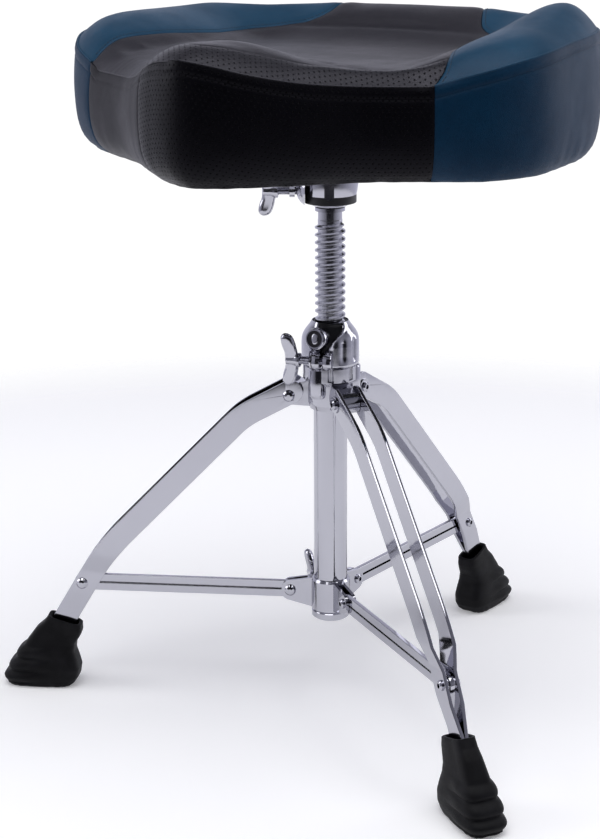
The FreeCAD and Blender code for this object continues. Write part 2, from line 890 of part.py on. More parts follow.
def make_clamp_jaw():
    """Loose jaw beside the bracket, drawn in by the wing bolt."""
    low = dim["bracket_low"]
    block = box("jaw_block", 8, 26, 19, turned(BRACKET_CLAMP_TURN, 20.8, low + 2, -13))
    trimmed = boolean("Common", "jaw_round", block, cylinder("jaw_trim", 30, 60, turned(0, 0, low - 5)))
    way = bracket_clamp_way("jaw_screw_way", 3.55, 10, 40)
    publish("clamp_jaw", boolean("Cut", "clamp_jaw", trimmed, way))


def make_bracket_bolt():
    """Wing bolt and spacer that tighten the jaw."""
    turn = Rotation(Z_AXIS, BRACKET_CLAMP_TURN)
    direction = tuple(turn.multVec(Vector(1, 0, 0)))
    up = float(dim["bracket_low"]) + 13

    def place(out):
        return along(direction, tuple(turn.multVec(Vector(out, 0, up))))

    washer = turned_body("jaw_washer", [(3.55, 0), (5.4, 0), (5.4, 4.4), (3.55, 4.4)])
    publish("jaw_washer", washer, place(28.9))
    wing_bolt("seat_wing_bolt", 3.5, 32, upright(place(11)), span=42)


def make_bracket_nut():
    """Long captive nut let into the front of the bracket."""
    low = dim["bracket_low"]
    half_wide, half_tall, cut = 4, 7, 2
    corners = [
        (-half_wide, -half_tall + cut),
        (0, -half_tall - 1),
        (half_wide, -half_tall + cut),
        (half_wide, half_tall - cut),
        (0, half_tall + 1),
        (-half_wide, half_tall - cut),
    ]
    body = new_body("bracket_nut")
    sketch = new_sketch(body, "XY_Plane")
    draw_outline(sketch, corners)
    pad(body, sketch, 2.4)
    turn = math.radians(BRACKET_FRONT_TURN)
    direction = (math.cos(turn), math.sin(turn), 0)
    radius = 23.6
    place = along(direction, (radius * direction[0], radius * direction[1], float(low) + 16))
    sideways = upright(place).Rotation * Rotation(Z_AXIS, 90)
    publish("bracket_nut", body, Placement(place.Base, sideways))


def make_mounting_plate():
    """Square steel plate between the bracket and the seat board, with its four bolts."""
    low = dim["bracket_high"]
    body = new_body("mounting_plate")
    sketch = new_sketch(body, "XY_Plane", low)
    half = 55
    draw_outline(sketch, [(x * half, y * half, 12) for x, y in ((-1, -1), (1, -1), (1, 1), (-1, 1))])
    for x, y in plate_hole_places():
        draw_circle(sketch, x, y, 3.2)
    pad(body, sketch, dim["seat_low"] - low)
    publish("mounting_plate", body, turned(SEAT_TURN))


def make_plate_screws():
    """Screws up through the mounting plate, and the tee nuts that they run in."""
    low = dim["bracket_high"]
    screws, nuts = [], []
    profile = [(0, -4), (5, -4), (6, -1.5), (6, 0), (3.1, 0), (3.1, 16), (0, 16)]
    for number, (x, y) in enumerate(plate_hole_places()):
        place = turned(SEAT_TURN, x, low, y)
        screw = turned_body("plate_screw_%d" % number, profile)
        screw.Placement = place
        screws.append(screw)
        top = board_top()
        flange = cylinder("tee_flange_%d" % number, 9, 1.5, turned(SEAT_TURN, x, top, y))
        barrel = cylinder("tee_barrel_%d" % number, 4.5, 8, turned(SEAT_TURN, x, top - 8, y))
        body = boolean("Fuse", "tee_body_%d" % number, flange, barrel)
        way = cylinder("tee_way_%d" % number, 3.1, 20, turned(SEAT_TURN, x, top - 10, y))
        nuts.append(boolean("Cut", "tee_nut_%d" % number, body, way))
    publish("plate_screws", group_of("plate_screws", screws))
    publish("tee_nuts", group_of("tee_nuts", nuts))


# ---------------------------------------------------------------- saddle seat


def seat_outline(inset):
    """Right half of the seat's plan, from nose to rear, as (across, towards the nose)."""
    half, front, rear = dim["seat_half"], dim["seat_front"], dim["seat_rear"]
    slant = inset * 0.7
    return [
        (0, front - inset),
        (32.5 - inset * 0.4, front - 13.5 - inset),
        (67.5 - slant, front - 43.5 - slant),
        (104.5 - inset * 0.6, front - 79.5 - inset),
        (half - 62.5 - inset * 0.5, front - 107 - inset),
        (half - 21.5 - slant, front - 139 - slant),
        (half - 3.5 - inset, front - 170.5),
        (half - inset, 0),
        (half - 4 - inset, -56.5),
        (half - 14.5 - inset, -90),
        (half - 44 - slant, -rear + 39 + slant),
        (half - 93 - inset * 0.3, -rear + 15 + inset),
        (59, -rear + 3 + inset),
        (0, -rear + inset),
    ]


# Seam between the top insert and the right wing, front to rear: across, towards the nose.
WING_SEAM = [
    (148, 104),
    (144, 87),
    (137, 64),
    (130, 23),
    (124, -24),
    (114, -72),
    (96, -92),
    (81, -104),
    (71, -122),
    (66, -138),
    (60, -150),
]


def closed_curve(right, height):
    """Smooth closed curve through a half outline and its mirror image."""
    points = [Vector(float(x), -float(y), float(height)) for x, y in right]
    mirrored = [Vector(-point.x, point.y, point.z) for point in reversed(points) if point.x > 0]
    curve = Part.BSplineCurve()
    curve.interpolate(points + mirrored, PeriodicFlag=True)
    return Part.Wire(curve.toShape())


def plan_wire(inset, height):
    """Smooth closed curve of the seat's plan at a height."""
    return closed_curve(seat_outline(inset), height)


def ease(x):
    """Smooth step from 0 to 1."""
    x = min(max(x, 0), 1)
    return x * x * (3 - 2 * x)


def crown_height(across, ahead):
    """Height of the seat's top: a nose hump, two wings and a raised rear round a dish."""
    lean = 0.2 * (176 - ahead)
    reach = 200 if ahead > 169 else 57
    nose = math.exp(-abs((across - lean) / 57) ** 2.2 - abs((ahead - 169) / reach) ** 2.2)
    rear = ease((-ahead - 55) / 92)
    wing = (1 - math.exp(-max(116 - ahead, 0) / 52)) * ease((abs(across) - 90) / 82)
    rises = nose * dim["nose_rise"] + rear * dim["rear_rise"] + (1 - rear) * wing * dim["wing_rise"]
    return float(dim["dish_height"] + rises)


def above_crown(inset):
    """Everything above the seat's top, as one solid."""
    columns = [side * x for side in (-1, 1) for x in (10, 30, 50, 70, 90, 110, 130, 150, 170, 190, 230)]
    rows = [-240, -190, -165, -140, -115, -90, -60, -30, 0, 30, 60, 85, 110, 130, 150, 170, 190, 215, 250]
    grid = [
        [Vector(x, -ahead, crown_height(x, ahead) - inset) for ahead in rows]
        for x in sorted(columns)
    ]
    surface = Part.BSplineSurface()
    surface.interpolate(grid)
    return surface.toShape().extrude(Vector(0, 0, 150))


def cushion_shape(inset, drop=0):
    """The seat cushion: a saddle with a nose, thigh cut-outs, wings and a raised rear."""
    base = float(dim["seat_low"])
    heights = ((base - drop, 11), (base + 5, 7), (base + 18, 2), (base + 45, 0), (600, 2))
    block = Part.makeLoft([plan_wire(inset + more, height) for height, more in heights], True, False)
    return block.cut(above_crown(inset))


def solid_feature(name, shape):
    item = doc.addObject("Part::Feature", name)
    item.Shape = shape
    return item


def make_cushion():
    """Foam block, and the sewn cover as five panels around it."""
    thick = float(dim["cover_thick"])
    turn = Rotation(Z_AXIS, SEAT_TURN)
    outer = cushion_shape(0)
    inner = cushion_shape(thick, 1)
    base = Part.makeBox(600, 600, 50, Vector(-300, -300, float(dim["seat_low"]) - 50))
    foam = inner.cut(base).cut(under_layer(0, dim["dust_cover_thick"] + dim["board_thick"]))
    for sinks in tee_sinks():
        foam = foam.cut(sinks)
    publish("seat_foam", solid_feature("seat_foam", foam), Placement(Vector(), turn))
    shell = outer.cut(inner)
    insert = top_insert_prism()
    top = shell.common(insert)
    publish("cover_top", solid_feature("cover_top", top), Placement(Vector(), turn))
    sides = shell.cut(insert)
    for name, start, stop in (
        ("cover_front", -57, 57),
        ("cover_right", 57, 163),
        ("cover_rear", 163, 197),
        ("cover_left", 197, 303),
    ):
        panel = sides.common(sector(start, stop))
        publish(name, solid_feature(name, panel), Placement(Vector(), turn))


def sector(start, stop):
    """Wedge about the vertical axis; angles are measured from the nose, to the right."""
    centre = Vector(0, -20, 400)
    spokes = []
    steps = 4
    for step in range(steps + 1):
        angle = math.radians(start + (stop - start) * step / steps - 90)
        spokes.append(centre + Vector(math.cos(angle), math.sin(angle), 0) * 600)
    wire = Part.makePolygon([centre] + spokes + [centre])
    return Part.Face(wire).extrude(Vector(0, 0, 300))


def top_insert_prism():
    """Upright prism inside the seam of the top insert."""
    front = [(0, 198), (30, 185), (58, 160), (90, 128), (120, 106)]
    rear = [(30, -153), (0, -153)]
    wire = closed_curve(front + WING_SEAM + rear, 520)
    return Part.Face(wire).extrude(Vector(0, 0, 120))


def under_layer(low, high):
    """A flat layer let into the cushion's underside, between two heights above it."""
    base = float(dim["seat_low"])
    wire = plan_wire(dim["board_inset"], base + low)
    return Part.Face(wire).extrude(Vector(0, 0, float(high) - float(low)))


def plate_hole_places():
    reach = float(dim["plate_hole_reach"])
    return [(x, y) for x in (-reach, reach) for y in (-reach, reach)]


def board_top():
    return dim["seat_low"] + dim["dust_cover_thick"] + dim["board_thick"]


def tee_sinks():
    top = float(board_top())
    return [Part.makeCylinder(9.2, 12, Vector(x, y, top - 0.5)) for x, y in plate_hole_places()]


def make_under_layers():
    """Plywood board in the cushion's underside, and the cloth that hides it."""
    turn = Rotation(Z_AXIS, SEAT_TURN)
    cloth = float(dim["dust_cover_thick"])
    low = float(dim["seat_low"])
    layers = {
        "dust_cover": (0, cloth, 3.3),
        "seat_board": (cloth, cloth + float(dim["board_thick"]), 4.5),
    }
    for name, (bottom, top, hole) in layers.items():
        shape = under_layer(bottom, top)
        for x, y in plate_hole_places():
            shape = shape.cut(Part.makeCylinder(hole, 40, Vector(x, y, low - 2)))
        publish(name, solid_feature(name, shape), Placement(Vector(), turn))


# ---------------------------------------------------------------- assembly


def make_everything():
    make_outer_tube()
    make_tube_end_ring()
    make_leg_hub()
    make_height_nut()
    make_nut_insert()
    make_badge()
    for leg, azimuth in LEGS.items():
        make_leg_bar(leg + "_leg_bar_a", 1, azimuth)
        make_leg_bar(leg + "_leg_bar_b", -1, azimuth)
        make_leg_foot(leg + "_foot", azimuth)
        make_hub_rivet(leg + "_hub_rivet", azimuth)
        make_stay_rivet(leg + "_stay_rivet", azimuth)
        make_stay(leg + "_stay", azimuth)
    make_lower_collar()
    make_collar_rivets()
    make_wing_bolts()
    make_spindle()
    make_spindle_guide()
    make_seat_bracket()
    make_clamp_jaw()
    make_bracket_bolt()
    make_bracket_nut()
    make_mounting_plate()
    make_plate_screws()
    make_under_layers()
    make_cushion()


def check_document():
    """Stop if any object failed or any sub-part has no sound shape."""
    failed = [item.Name for item in doc.Objects if {"Invalid", "Error"} & set(item.State)]
    if failed:
        raise RuntimeError("failed objects: %s" % ", ".join(failed))
    for item in nodes:
        if item.Shape.isNull() or not item.Shape.isValid():
            raise RuntimeError("no sound shape in " + item.Label)


def write_parts():
    os.makedirs("parts", exist_ok=True)
    for item in nodes:
        item.Shape.exportStep("parts/%s.step" % item.Label)
        print(item.Label, len(item.Shape.Solids), round(item.Shape.Volume / 1000, 2), "cm3")


make_everything()
doc.recompute()
check_document()
write_parts()
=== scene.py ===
import json
import math
import random

import bpy
import numpy as np
from mathutils import Matrix, Vector, geometry, kdtree, noise


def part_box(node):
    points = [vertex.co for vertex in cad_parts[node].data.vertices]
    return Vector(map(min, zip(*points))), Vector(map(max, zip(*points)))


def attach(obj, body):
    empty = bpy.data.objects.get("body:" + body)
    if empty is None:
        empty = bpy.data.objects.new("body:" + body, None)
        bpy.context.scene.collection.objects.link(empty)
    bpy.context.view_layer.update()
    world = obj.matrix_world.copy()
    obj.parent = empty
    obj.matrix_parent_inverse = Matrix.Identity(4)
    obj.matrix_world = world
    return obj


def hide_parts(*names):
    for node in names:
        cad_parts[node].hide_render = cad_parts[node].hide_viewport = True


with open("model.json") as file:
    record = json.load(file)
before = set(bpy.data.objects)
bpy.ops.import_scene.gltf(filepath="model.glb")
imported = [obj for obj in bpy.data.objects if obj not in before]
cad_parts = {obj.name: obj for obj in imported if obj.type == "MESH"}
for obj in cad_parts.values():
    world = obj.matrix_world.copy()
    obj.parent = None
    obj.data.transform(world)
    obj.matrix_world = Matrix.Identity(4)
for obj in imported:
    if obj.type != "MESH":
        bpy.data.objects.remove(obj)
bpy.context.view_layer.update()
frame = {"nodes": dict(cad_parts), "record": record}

# The seat is laid out in millimetres, as (across, ahead): to the sitter's right, and towards
# the nose. It is turned a little about the central tube.
MM = 0.001
SEAT_TURN = math.radians(6.9)
SEAT_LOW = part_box("mounting_plate")[1][2] / MM

# Right half of the outline at its widest, from the tip of the nose to the rear.
HALF_OUTLINE = [
    (0, 225), (32.5, 211.5), (67.5, 181.5), (104.5, 145.5), (146.5, 118), (187.5, 86),
    (205.5, 54.5), (209, 0), (205, -56.5), (194.5, -90), (165, -124), (116, -148),
    (59, -160), (0, -163),
]

# Seams between the top insert and the two blue wings, from the front edge to the rear edge.
RIGHT_SEAM = [
    (149, 116), (150, 104), (146, 87), (138, 64), (131, 23), (126, -24), (117, -72),
    (101, -90), (87, -103), (78, -122), (71, -142), (68, -160),
]
LEFT_SEAM = [
    (-156, 111), (-151, 101), (-146, 85), (-138, 62), (-130, 23), (-123, -24), (-113, -78),
    (-93, -94), (-76, -101), (-65, -116), (-62, -136), (-61, -160),
]

DISH_HEIGHT = 558.5  # lowest part of the top
NOSE_RISE, NOSE_AHEAD, NOSE_WIDTH = 24, 169, 57
REAR_RISE, WING_RISE = 26, 27

ROLL = 27  # how far in from the edge the top starts to roll down
DROP = 7.5  # how far the edge lies below the crown
EDGE_INSET = 2
BAND = 27  # width of the perforated band along the front edge
STITCH_LINE = 8.5  # depth of the stitched line below the top edge
BAND_END = 40  # how far the band runs past the right seam, under the wing
LINE_STEP = 2.5  # spacing of the points on a seam
MOST_POINTS = 200000  # room in the search tree of the top's points

PUFF_LIMIT = 2.2  # how far the cover can swell between its seams
PUFF_VOXEL = 5.5
PUFF_FRAMES = 20
SEWN_REACH = 4  # the cover is held within this distance of a seam
CAMERA_TURN = math.radians(36.43)


# ---------------------------------------------------------------- materials


class Finish:
    """A node material being built."""

    def __init__(self, name):
        self.material = bpy.data.materials.new(name)
        self.material.use_nodes = True
        self.tree = self.material.node_tree
        self.shader = self.tree.nodes["Principled BSDF"]
        self.place = self.node("TexCoord").outputs["Object"]

    def feed(self, socket, value):
        if isinstance(value, bpy.types.NodeSocket):
            self.tree.links.new(value, socket)
        else:
            socket.default_value = value

    def node(self, kind, inputs=(), **settings):
        node = self.tree.nodes.new("ShaderNode" + kind)
        for name, value in settings.items():
            setattr(node, name, value)
        for socket, value in dict(inputs).items():
            self.feed(node.inputs[socket], value)
        return node

    def set(self, **sockets):
        """Shader inputs, such as base_color=..., roughness=..."""
        for name, value in sockets.items():
            self.feed(self.shader.inputs[name.replace("_", " ").title().replace("Ior", "IOR")], value)
        return self

    def noise(self, scale, detail=3, vector=None, roughness=0.5):
        inputs = {"Vector": vector or self.place, "Scale": scale, "Detail": detail, "Roughness": roughness}
        return self.node("TexNoise", inputs).outputs["Fac"]

    def span(self, value, low, high, to_low=0.0, to_high=1.0):
        inputs = {"Value": value, "From Min": low, "From Max": high, "To Min": to_low, "To Max": to_high}
        return self.node("MapRange", inputs, interpolation_type="SMOOTHSTEP").outputs["Result"]

    def maths(self, operation, a, b=0.0):
        return self.node("Math", {0: a, 1: b}, operation=operation).outputs[0]

    def blend(self, factor, a, b):
        """A colour between two colours."""
        node = self.node("Mix", {0: factor, 6: a, 7: b}, data_type="RGBA")
        return node.outputs[2]

    def bump(self, height, distance, strength=1.0, under=None):
        inputs = {"Height": height, "Distance": distance, "Strength": strength}
        if under is not None:
            inputs["Normal"] = under
        return self.node("Bump", inputs).outputs["Normal"]


def colour(red, green, blue):
    return (red, green, blue, 1)


def chrome(name, tint, rough, wave):
    """Plated metal with a faint waviness and a haze of fine scratches."""
    finish = Finish(name)
    haze = finish.noise(45, 5)
    stretched = finish.node(
        "Mapping", {"Vector": finish.place, "Scale": (900, 900, 60)}
    ).outputs["Vector"]
    scratches = finish.noise(1, 2, stretched)
    finish.set(
        base_color=finish.blend(haze, colour(*[0.93 * part for part in tint]), colour(*tint)),
        metallic=1.0,
        roughness=finish.span(haze, 0.3, 0.75, rough, rough * 2.0),
    )
    waves = finish.bump(finish.noise(70, 1), wave)
    finish.set(normal=finish.bump(scratches, 0.000004, 0.6, waves))
    return finish.material


def rubber():
    """Matt moulded rubber with a fine spark-eroded grain and pale scuffs."""
    finish = Finish("rubber")
    cloud = finish.noise(60, 6)
    grain = finish.noise(1900, 3)
    finish.set(
        base_color=finish.blend(
            finish.span(cloud, 0.35, 0.8), colour(0.003, 0.003, 0.004), colour(0.009, 0.009, 0.011)
        ),
        roughness=finish.span(grain, 0.2, 0.8, 0.42, 0.66),
        specular_ior_level=0.13,
        normal=finish.bump(grain, 0.00022, 0.7, finish.bump(cloud, 0.0006, 0.5)),
    )
    return finish.material


def plastic(name, tint, rough):
    """Moulded nylon, a little cloudy."""
    finish = Finish(name)
    cloud = finish.noise(220, 4)
    finish.set(
        base_color=finish.blend(cloud, colour(*tint), colour(*[0.8 * part for part in tint])),
        roughness=finish.span(cloud, 0.2, 0.8, rough, rough + 0.12),
        normal=finish.bump(finish.noise(1400, 2), 0.00004, 0.5),
    )
    return finish.material


def leather_grain(finish, scale=900, depth=0.00008):
    """Pebbled leatherette: small cells parted by fine creases, with a soft unevenness."""
    cells = finish.node(
        "TexVoronoi", {"Vector": finish.place, "Scale": scale}, feature="DISTANCE_TO_EDGE"
    ).outputs["Distance"]
    creases = finish.span(cells, 0.0, 0.22)
    soft = finish.bump(finish.noise(26, 3), 0.0016, 0.35)
    return creases, finish.bump(creases, depth, 0.8, soft)


def leather(name, dark, light, rough, gloss, pierced=False):
    """Grained leatherette, worn a little smoother in patches, with punched holes if pierced."""
    finish = Finish(name)
    creases, normal = leather_grain(finish)
    cloud = finish.noise(17, 5, roughness=0.6)
    tint = finish.blend(finish.span(cloud, 0.3, 0.75), colour(*dark), colour(*light))
    # Painted shade: the grain's creases are coloured darker.
    crease_shade = colour(*[0.4 * part for part in dark])
    tint = finish.blend(finish.span(creases, 0.0, 1.0, 0.35, 0.0), tint, crease_shade)
    roughness = finish.span(cloud, 0.3, 0.75, rough + 0.05, rough - 0.05)
    if pierced:
        hole = punched_holes(finish)
        # Painted shade: the holes are coloured near black.
        tint = finish.blend(hole, tint, colour(0.0008, 0.0008, 0.001))
        roughness = finish.maths("MAXIMUM", roughness, hole)
        normal = finish.bump(hole, -0.0007, 1.0, normal)
    finish.set(
        base_color=tint,
        roughness=roughness,
        normal=normal,
        specular_ior_level=gloss,
        specular_tint=colour(0.86, 0.84, 1.0),
    )
    return finish.material


def punched_holes(finish, pitch=4.6, radius=0.62):
    """A staggered grid of small round holes laid out on the UV map, which is in millimetres."""
    flat = finish.node("UVMap", uv_map="millimetres").outputs["UV"]
    masks = []
    for shift in (0, 0.5):
        scaled = finish.node(
            "Mapping",
            {"Vector": flat, "Location": (shift, shift, 0), "Scale": (1 / pitch, 1 / (pitch * 1.5), 0)},
        ).outputs["Vector"]
        cell = finish.node("VectorMath", {0: scaled}, operation="FRACTION").outputs[0]
        centred = finish.node("VectorMath", {0: cell, 1: (0.5, 0.5, 0)}, operation="SUBTRACT").outputs[0]
        sized = finish.node(
            "VectorMath", {0: centred, 1: (pitch, pitch * 1.5, 0)}, operation="MULTIPLY"
        ).outputs[0]
        masks.append(finish.node("VectorMath", {0: sized}, operation="LENGTH").outputs["Value"])
    nearest = finish.maths("MINIMUM", *masks)
    return finish.span(nearest, radius - 0.18, radius + 0.18, 1.0, 0.0)


def thread(name, tint):
    """Twisted sewing thread."""
    finish = Finish(name)
    strands = finish.noise(3000, 2)
    finish.set(
        base_color=finish.blend(strands, colour(*tint), colour(*[1.8 * part for part in tint])),
        roughness=0.55,
        normal=finish.bump(strands, 0.0001, 0.6),
    )
    return finish.material


def lining():
    """Black non-woven lining cloth with a pressed dimple pattern."""
    finish = Finish("lining_cloth")
    fibres = finish.noise(1200, 6)
    dimples = finish.node(
        "TexVoronoi", {"Vector": finish.place, "Scale": 520}, feature="F1"
    ).outputs["Distance"]
    finish.set(
        base_color=finish.blend(fibres, colour(0.006, 0.006, 0.007), colour(0.022, 0.022, 0.024)),
        roughness=0.92,
        sheen_weight=0.25,
        normal=finish.bump(dimples, 0.0002, 0.7, finish.bump(fibres, 0.0002, 0.6)),
    )
    return finish.material


def plywood():
    """Birch plywood: fine grain with darker glue lines between the plies."""
    finish = Finish("plywood")
    stretched = finish.node(
        "Mapping", {"Vector": finish.place, "Scale": (25, 300, 300)}
    ).outputs["Vector"]
    grain = finish.noise(1, 6, stretched)
    plies = finish.node(
        "TexWave", {"Vector": finish.place, "Scale": 160, "Distortion": 0.4}, bands_direction="Z"
    ).outputs["Fac"]
    wood = finish.blend(grain, colour(0.42, 0.27, 0.13), colour(0.62, 0.45, 0.26))
    finish.set(
        base_color=finish.blend(finish.span(plies, 0.0, 0.25, 0.6, 0.0), wood, colour(0.14, 0.08, 0.04)),
        roughness=finish.span(grain, 0.2, 0.8, 0.6, 0.8),
        normal=finish.bump(grain, 0.0002, 0.5),
    )
    return finish.material


MATERIALS = {
    "chrome_steel": chrome("chrome_steel", (0.46, 0.46, 0.51), 0.045, 0.00006),
    "chrome_casting": chrome("chrome_casting", (0.46, 0.46, 0.51), 0.075, 0.00012),
    "zinc_steel": chrome("zinc_steel", (0.52, 0.52, 0.57), 0.11, 0.00008),
    "badge_black": plastic("badge_black", (0.010, 0.010, 0.014), 0.12),
    "rubber": rubber(),
    "black_nylon": plastic("black_nylon", (0.007, 0.007, 0.009), 0.38),
    "white_nylon": plastic("white_nylon", (0.72, 0.70, 0.64), 0.45),
    "smooth_leather": leather(
        "smooth_leather", (0.0036, 0.0034, 0.0052), (0.0062, 0.0058, 0.0086), 0.36, 0.46
    ),
    "side_leather": leather("side_leather", (0.0036, 0.0034, 0.0052), (0.0062, 0.0058, 0.0086), 0.40, 0.17),
    "perforated_leather": leather(
        "perforated_leather", (0.0022, 0.0021, 0.0036), (0.0042, 0.004, 0.0064), 0.34, 0.34, pierced=True
    ),
    # Darker base colour than perforated_leather: painted shade on the upright front panel.
    "perforated_side_shaded": leather(
        "perforated_side_shaded", (0.0012, 0.0011, 0.0020), (0.0022, 0.0021, 0.0034), 0.36, 0.10, pierced=True
    ),
    "blue_leather": leather("blue_leather", (0.003, 0.040, 0.085), (0.0055, 0.056, 0.115), 0.42, 0.20),
    # Darker base colour than blue_leather: painted shade on the upright blue panels.
    "blue_side_shaded": leather("blue_side_shaded", (0.0016, 0.024, 0.058), (0.003, 0.034, 0.078), 0.42, 0.12),
    "lining_cloth": lining(),
    "plywood": plywood(),
    "black_thread": thread("black_thread", (0.004, 0.004, 0.006)),
    "blue_thread": thread("blue_thread", (0.003, 0.010, 0.022)),
}


def dress_frame():
    """Give every CAD node the procedural material of its slot."""
    slots = {part["node"]: part["material_slot"] for part in frame["record"]["subparts"]}
    for name, item in frame["nodes"].items():
        finish = MATERIALS.get(slots[name], MATERIALS["smooth_leather"])
        item.data.materials.clear()
        item.data.materials.append(finish)


# ---------------------------------------------------------------- seat surface


def ease(x):
    """Smooth step from 0 to 1."""
    x = np.clip(x, 0, 1)
    return x * x * (3 - 2 * x)


def saddle(across, ahead):
    """How far a place belongs to the raised rear and to the wings, from 0 to 1 each."""
    rear = ease((-ahead - 55) / 92)
    wing = (1 - np.exp(-np.maximum(116 - ahead, 0) / 52)) * ease((np.abs(across) - 90) / 82)
    return rear, (1 - rear) * wing


def crown(across, ahead):
    """Height of the seat's top: a nose hump, two wings and a raised rear round a dish."""
    lean = 0.2 * (176 - ahead)
    reach = np.where(ahead > NOSE_AHEAD, 200, NOSE_WIDTH)
    sideways = np.abs((across - lean) / NOSE_WIDTH) ** 2.2
    lengthways = np.abs((ahead - NOSE_AHEAD) / reach) ** 2.2
    rear, wing = saddle(across, ahead)
    return DISH_HEIGHT + NOSE_RISE * np.exp(-sideways - lengthways) + REAR_RISE * rear + WING_RISE * wing


def smooth_curve(points, closed, step):
    """Evenly spaced points on a smooth curve through the given ones."""
    points = np.array(points, float)
    count = len(points)
    following = np.roll(points, -1, 0)
    before = np.roll(points, 1, 0)
    if not closed:
        following[-1] = 2 * points[-1] - points[-2]
        before[0] = 2 * points[0] - points[1]
    after_step = np.linalg.norm(following - points, axis=1)[:, None]
    before_step = np.linalg.norm(points - before, axis=1)[:, None]
    slopes = (
        (following - points) / after_step * before_step + (points - before) / before_step * after_step
    ) / (after_step + before_step)
    line = []
    for i in range(count if closed else count - 1):
        j = (i + 1) % count
        length = np.linalg.norm(points[j] - points[i])
        for t in np.linspace(0, 1, 24, endpoint=False):
            line.append(
                (2 * t**3 - 3 * t**2 + 1) * points[i]
                + (t**3 - 2 * t**2 + t) * slopes[i] * length
                + (3 * t**2 - 2 * t**3) * points[j]
                + (t**3 - t**2) * slopes[j] * length
            )
    line.append(points[0] if closed else points[-1])
    line = np.array(line)
    travelled = np.concatenate([[0], np.cumsum(np.linalg.norm(np.diff(line, axis=0), axis=1))])
    pieces = max(int(round(travelled[-1] / step)), 2)
    wanted = np.linspace(0, travelled[-1], pieces + 1)
    even = np.stack([np.interp(wanted, travelled, line[:, k]) for k in (0, 1)], 1)
    return even[:-1] if closed else even


class Outline:
    """The seat's outline, measured by distance along it from the tip of the nose."""

    def __init__(self):
        mirrored = [(-x, y) for x, y in HALF_OUTLINE[-2:0:-1]]
        self.points = smooth_curve(HALF_OUTLINE + mirrored, True, 1.0)
        steps = np.linalg.norm(np.roll(self.points, -1, 0) - self.points, axis=1)
        self.along = np.concatenate([[0], np.cumsum(steps)])
        self.length = self.along[-1]
        ahead = np.roll(self.points, -2, 0) - np.roll(self.points, 2, 0)
        ahead /= np.linalg.norm(ahead, axis=1)[:, None]
        self.normals = np.stack([-ahead[:, 1], ahead[:, 0]], 1)
        if (self.normals * self.points).sum() < 0:
            self.normals = -self.normals

    def at(self, along, inset=0.0):
        """Points at distances along the outline, moved inwards."""
        along = np.asarray(along) % self.length
        closed = np.vstack([self.points, self.points[:1]])
        outward = np.vstack([self.normals, self.normals[:1]])
        place = np.stack([np.interp(along, self.along, closed[:, k]) for k in (0, 1)], -1)
        normal = np.stack([np.interp(along, self.along, outward[:, k]) for k in (0, 1)], -1)
        normal /= np.linalg.norm(normal, axis=-1, keepdims=True)
        return place - normal * np.asarray(inset)[..., None], normal

    def nearest(self, point):
        """Distance along the outline of its nearest point."""
        gaps = np.linalg.norm(self.points - np.array(point), axis=1)
        return float(self.along[int(np.argmin(gaps))])


outline = Outline()

# Distances along the outline of the upright seams in the side.
SEAMS = {
    "right": outline.nearest(RIGHT_SEAM[0]),
    "rear_right": outline.nearest(RIGHT_SEAM[-1]),
    "rear_left": outline.nearest(LEFT_SEAM[-1]),
    "left": outline.nearest(LEFT_SEAM[0]),
    "flank": outline.nearest((-51, 196)),
}


def side_panel(along):
    """Which side panel a place on the outline belongs to."""
    if along < SEAMS["right"] or along >= SEAMS["flank"]:
        return "front"
    if along < SEAMS["rear_right"]:
        return "right"
    if along < SEAMS["rear_left"]:
        return "rear"
    return "left" if along < SEAMS["left"] else "thigh"


def softness(along):
    """1 where the top rolls over the edge without a seam, on the left of the nose."""
    into = ease((along - SEAMS["left"] - 2) / 14)
    out_of = ease((outline.length - 2 - along) / 14)
    return into * out_of


def stations():
    """Places for the columns of the side: even, with more at each upright seam."""
    close = (0, 0.7, 1.5, 2.6, 4.2)
    special = {round(seam + side * gap, 3) for seam in SEAMS.values() for gap in close for side in (-1, 1)}
    even = np.arange(0, outline.length - 1.5, 3.0)
    kept = [x for x in even if min(abs(x - other) for other in special) > 1.3]
    return np.array(sorted(special.union(kept)))


def seam_relief(gap, depth=0.9, width=1.1, puff=0.7):
    """Height of the cover near a seam: a narrow groove between two soft rolls."""
    groove = -depth * np.exp(-((gap / width) ** 2))
    return groove + puff * (1 - np.exp(-((gap / 5) ** 2))) * np.exp(-((gap / 15) ** 2))


def segment_gap(points, line):
    """Distance from each point to a polyline."""
    start, stop = line[:-1], line[1:]
    step = stop - start
    best = np.full(len(points), 1e9)
    for begin, across in zip(start, step):
        t = np.clip(((points - begin) @ across) / max(across @ across, 1e-9), 0, 1)
        best = np.minimum(best, np.linalg.norm(points - begin - t[:, None] * across, axis=1))
    return best


def place_tree(places):
    """Search tree over places, given as (x, y, z)."""
    tree = kdtree.KDTree(len(places))
    for i, place in enumerate(places):
        tree.insert(place, i)
    tree.balance()
    return tree


def flat_tree(places):
    """Search tree over places given as (x, y)."""
    return place_tree([(x, y, 0) for x, y in places])


def cloud(points, scale, seed=0.0):
    """Smooth random values from -1 to 1 at places given in millimetres."""
    return np.array([noise.noise(Vector((x / scale, y / scale, z / scale + seed))) for x, y, z in points])


def side_rows(height):
    """Depths below the top edge for one column of the side."""
    fine = [0, 0.7, 1.6, 2.8, 4.4, 6.2, 7.4, STITCH_LINE, 9.6, 11, 13.5]
    rest = height - fine[-1]
    return fine + [fine[-1] + rest * share for share in np.linspace(0, 1, 16)[1:]]


# ---------------------------------------------------------------- seat pieces


def seat_matrix():
    return Matrix.Rotation(SEAT_TURN, 4, "Z")


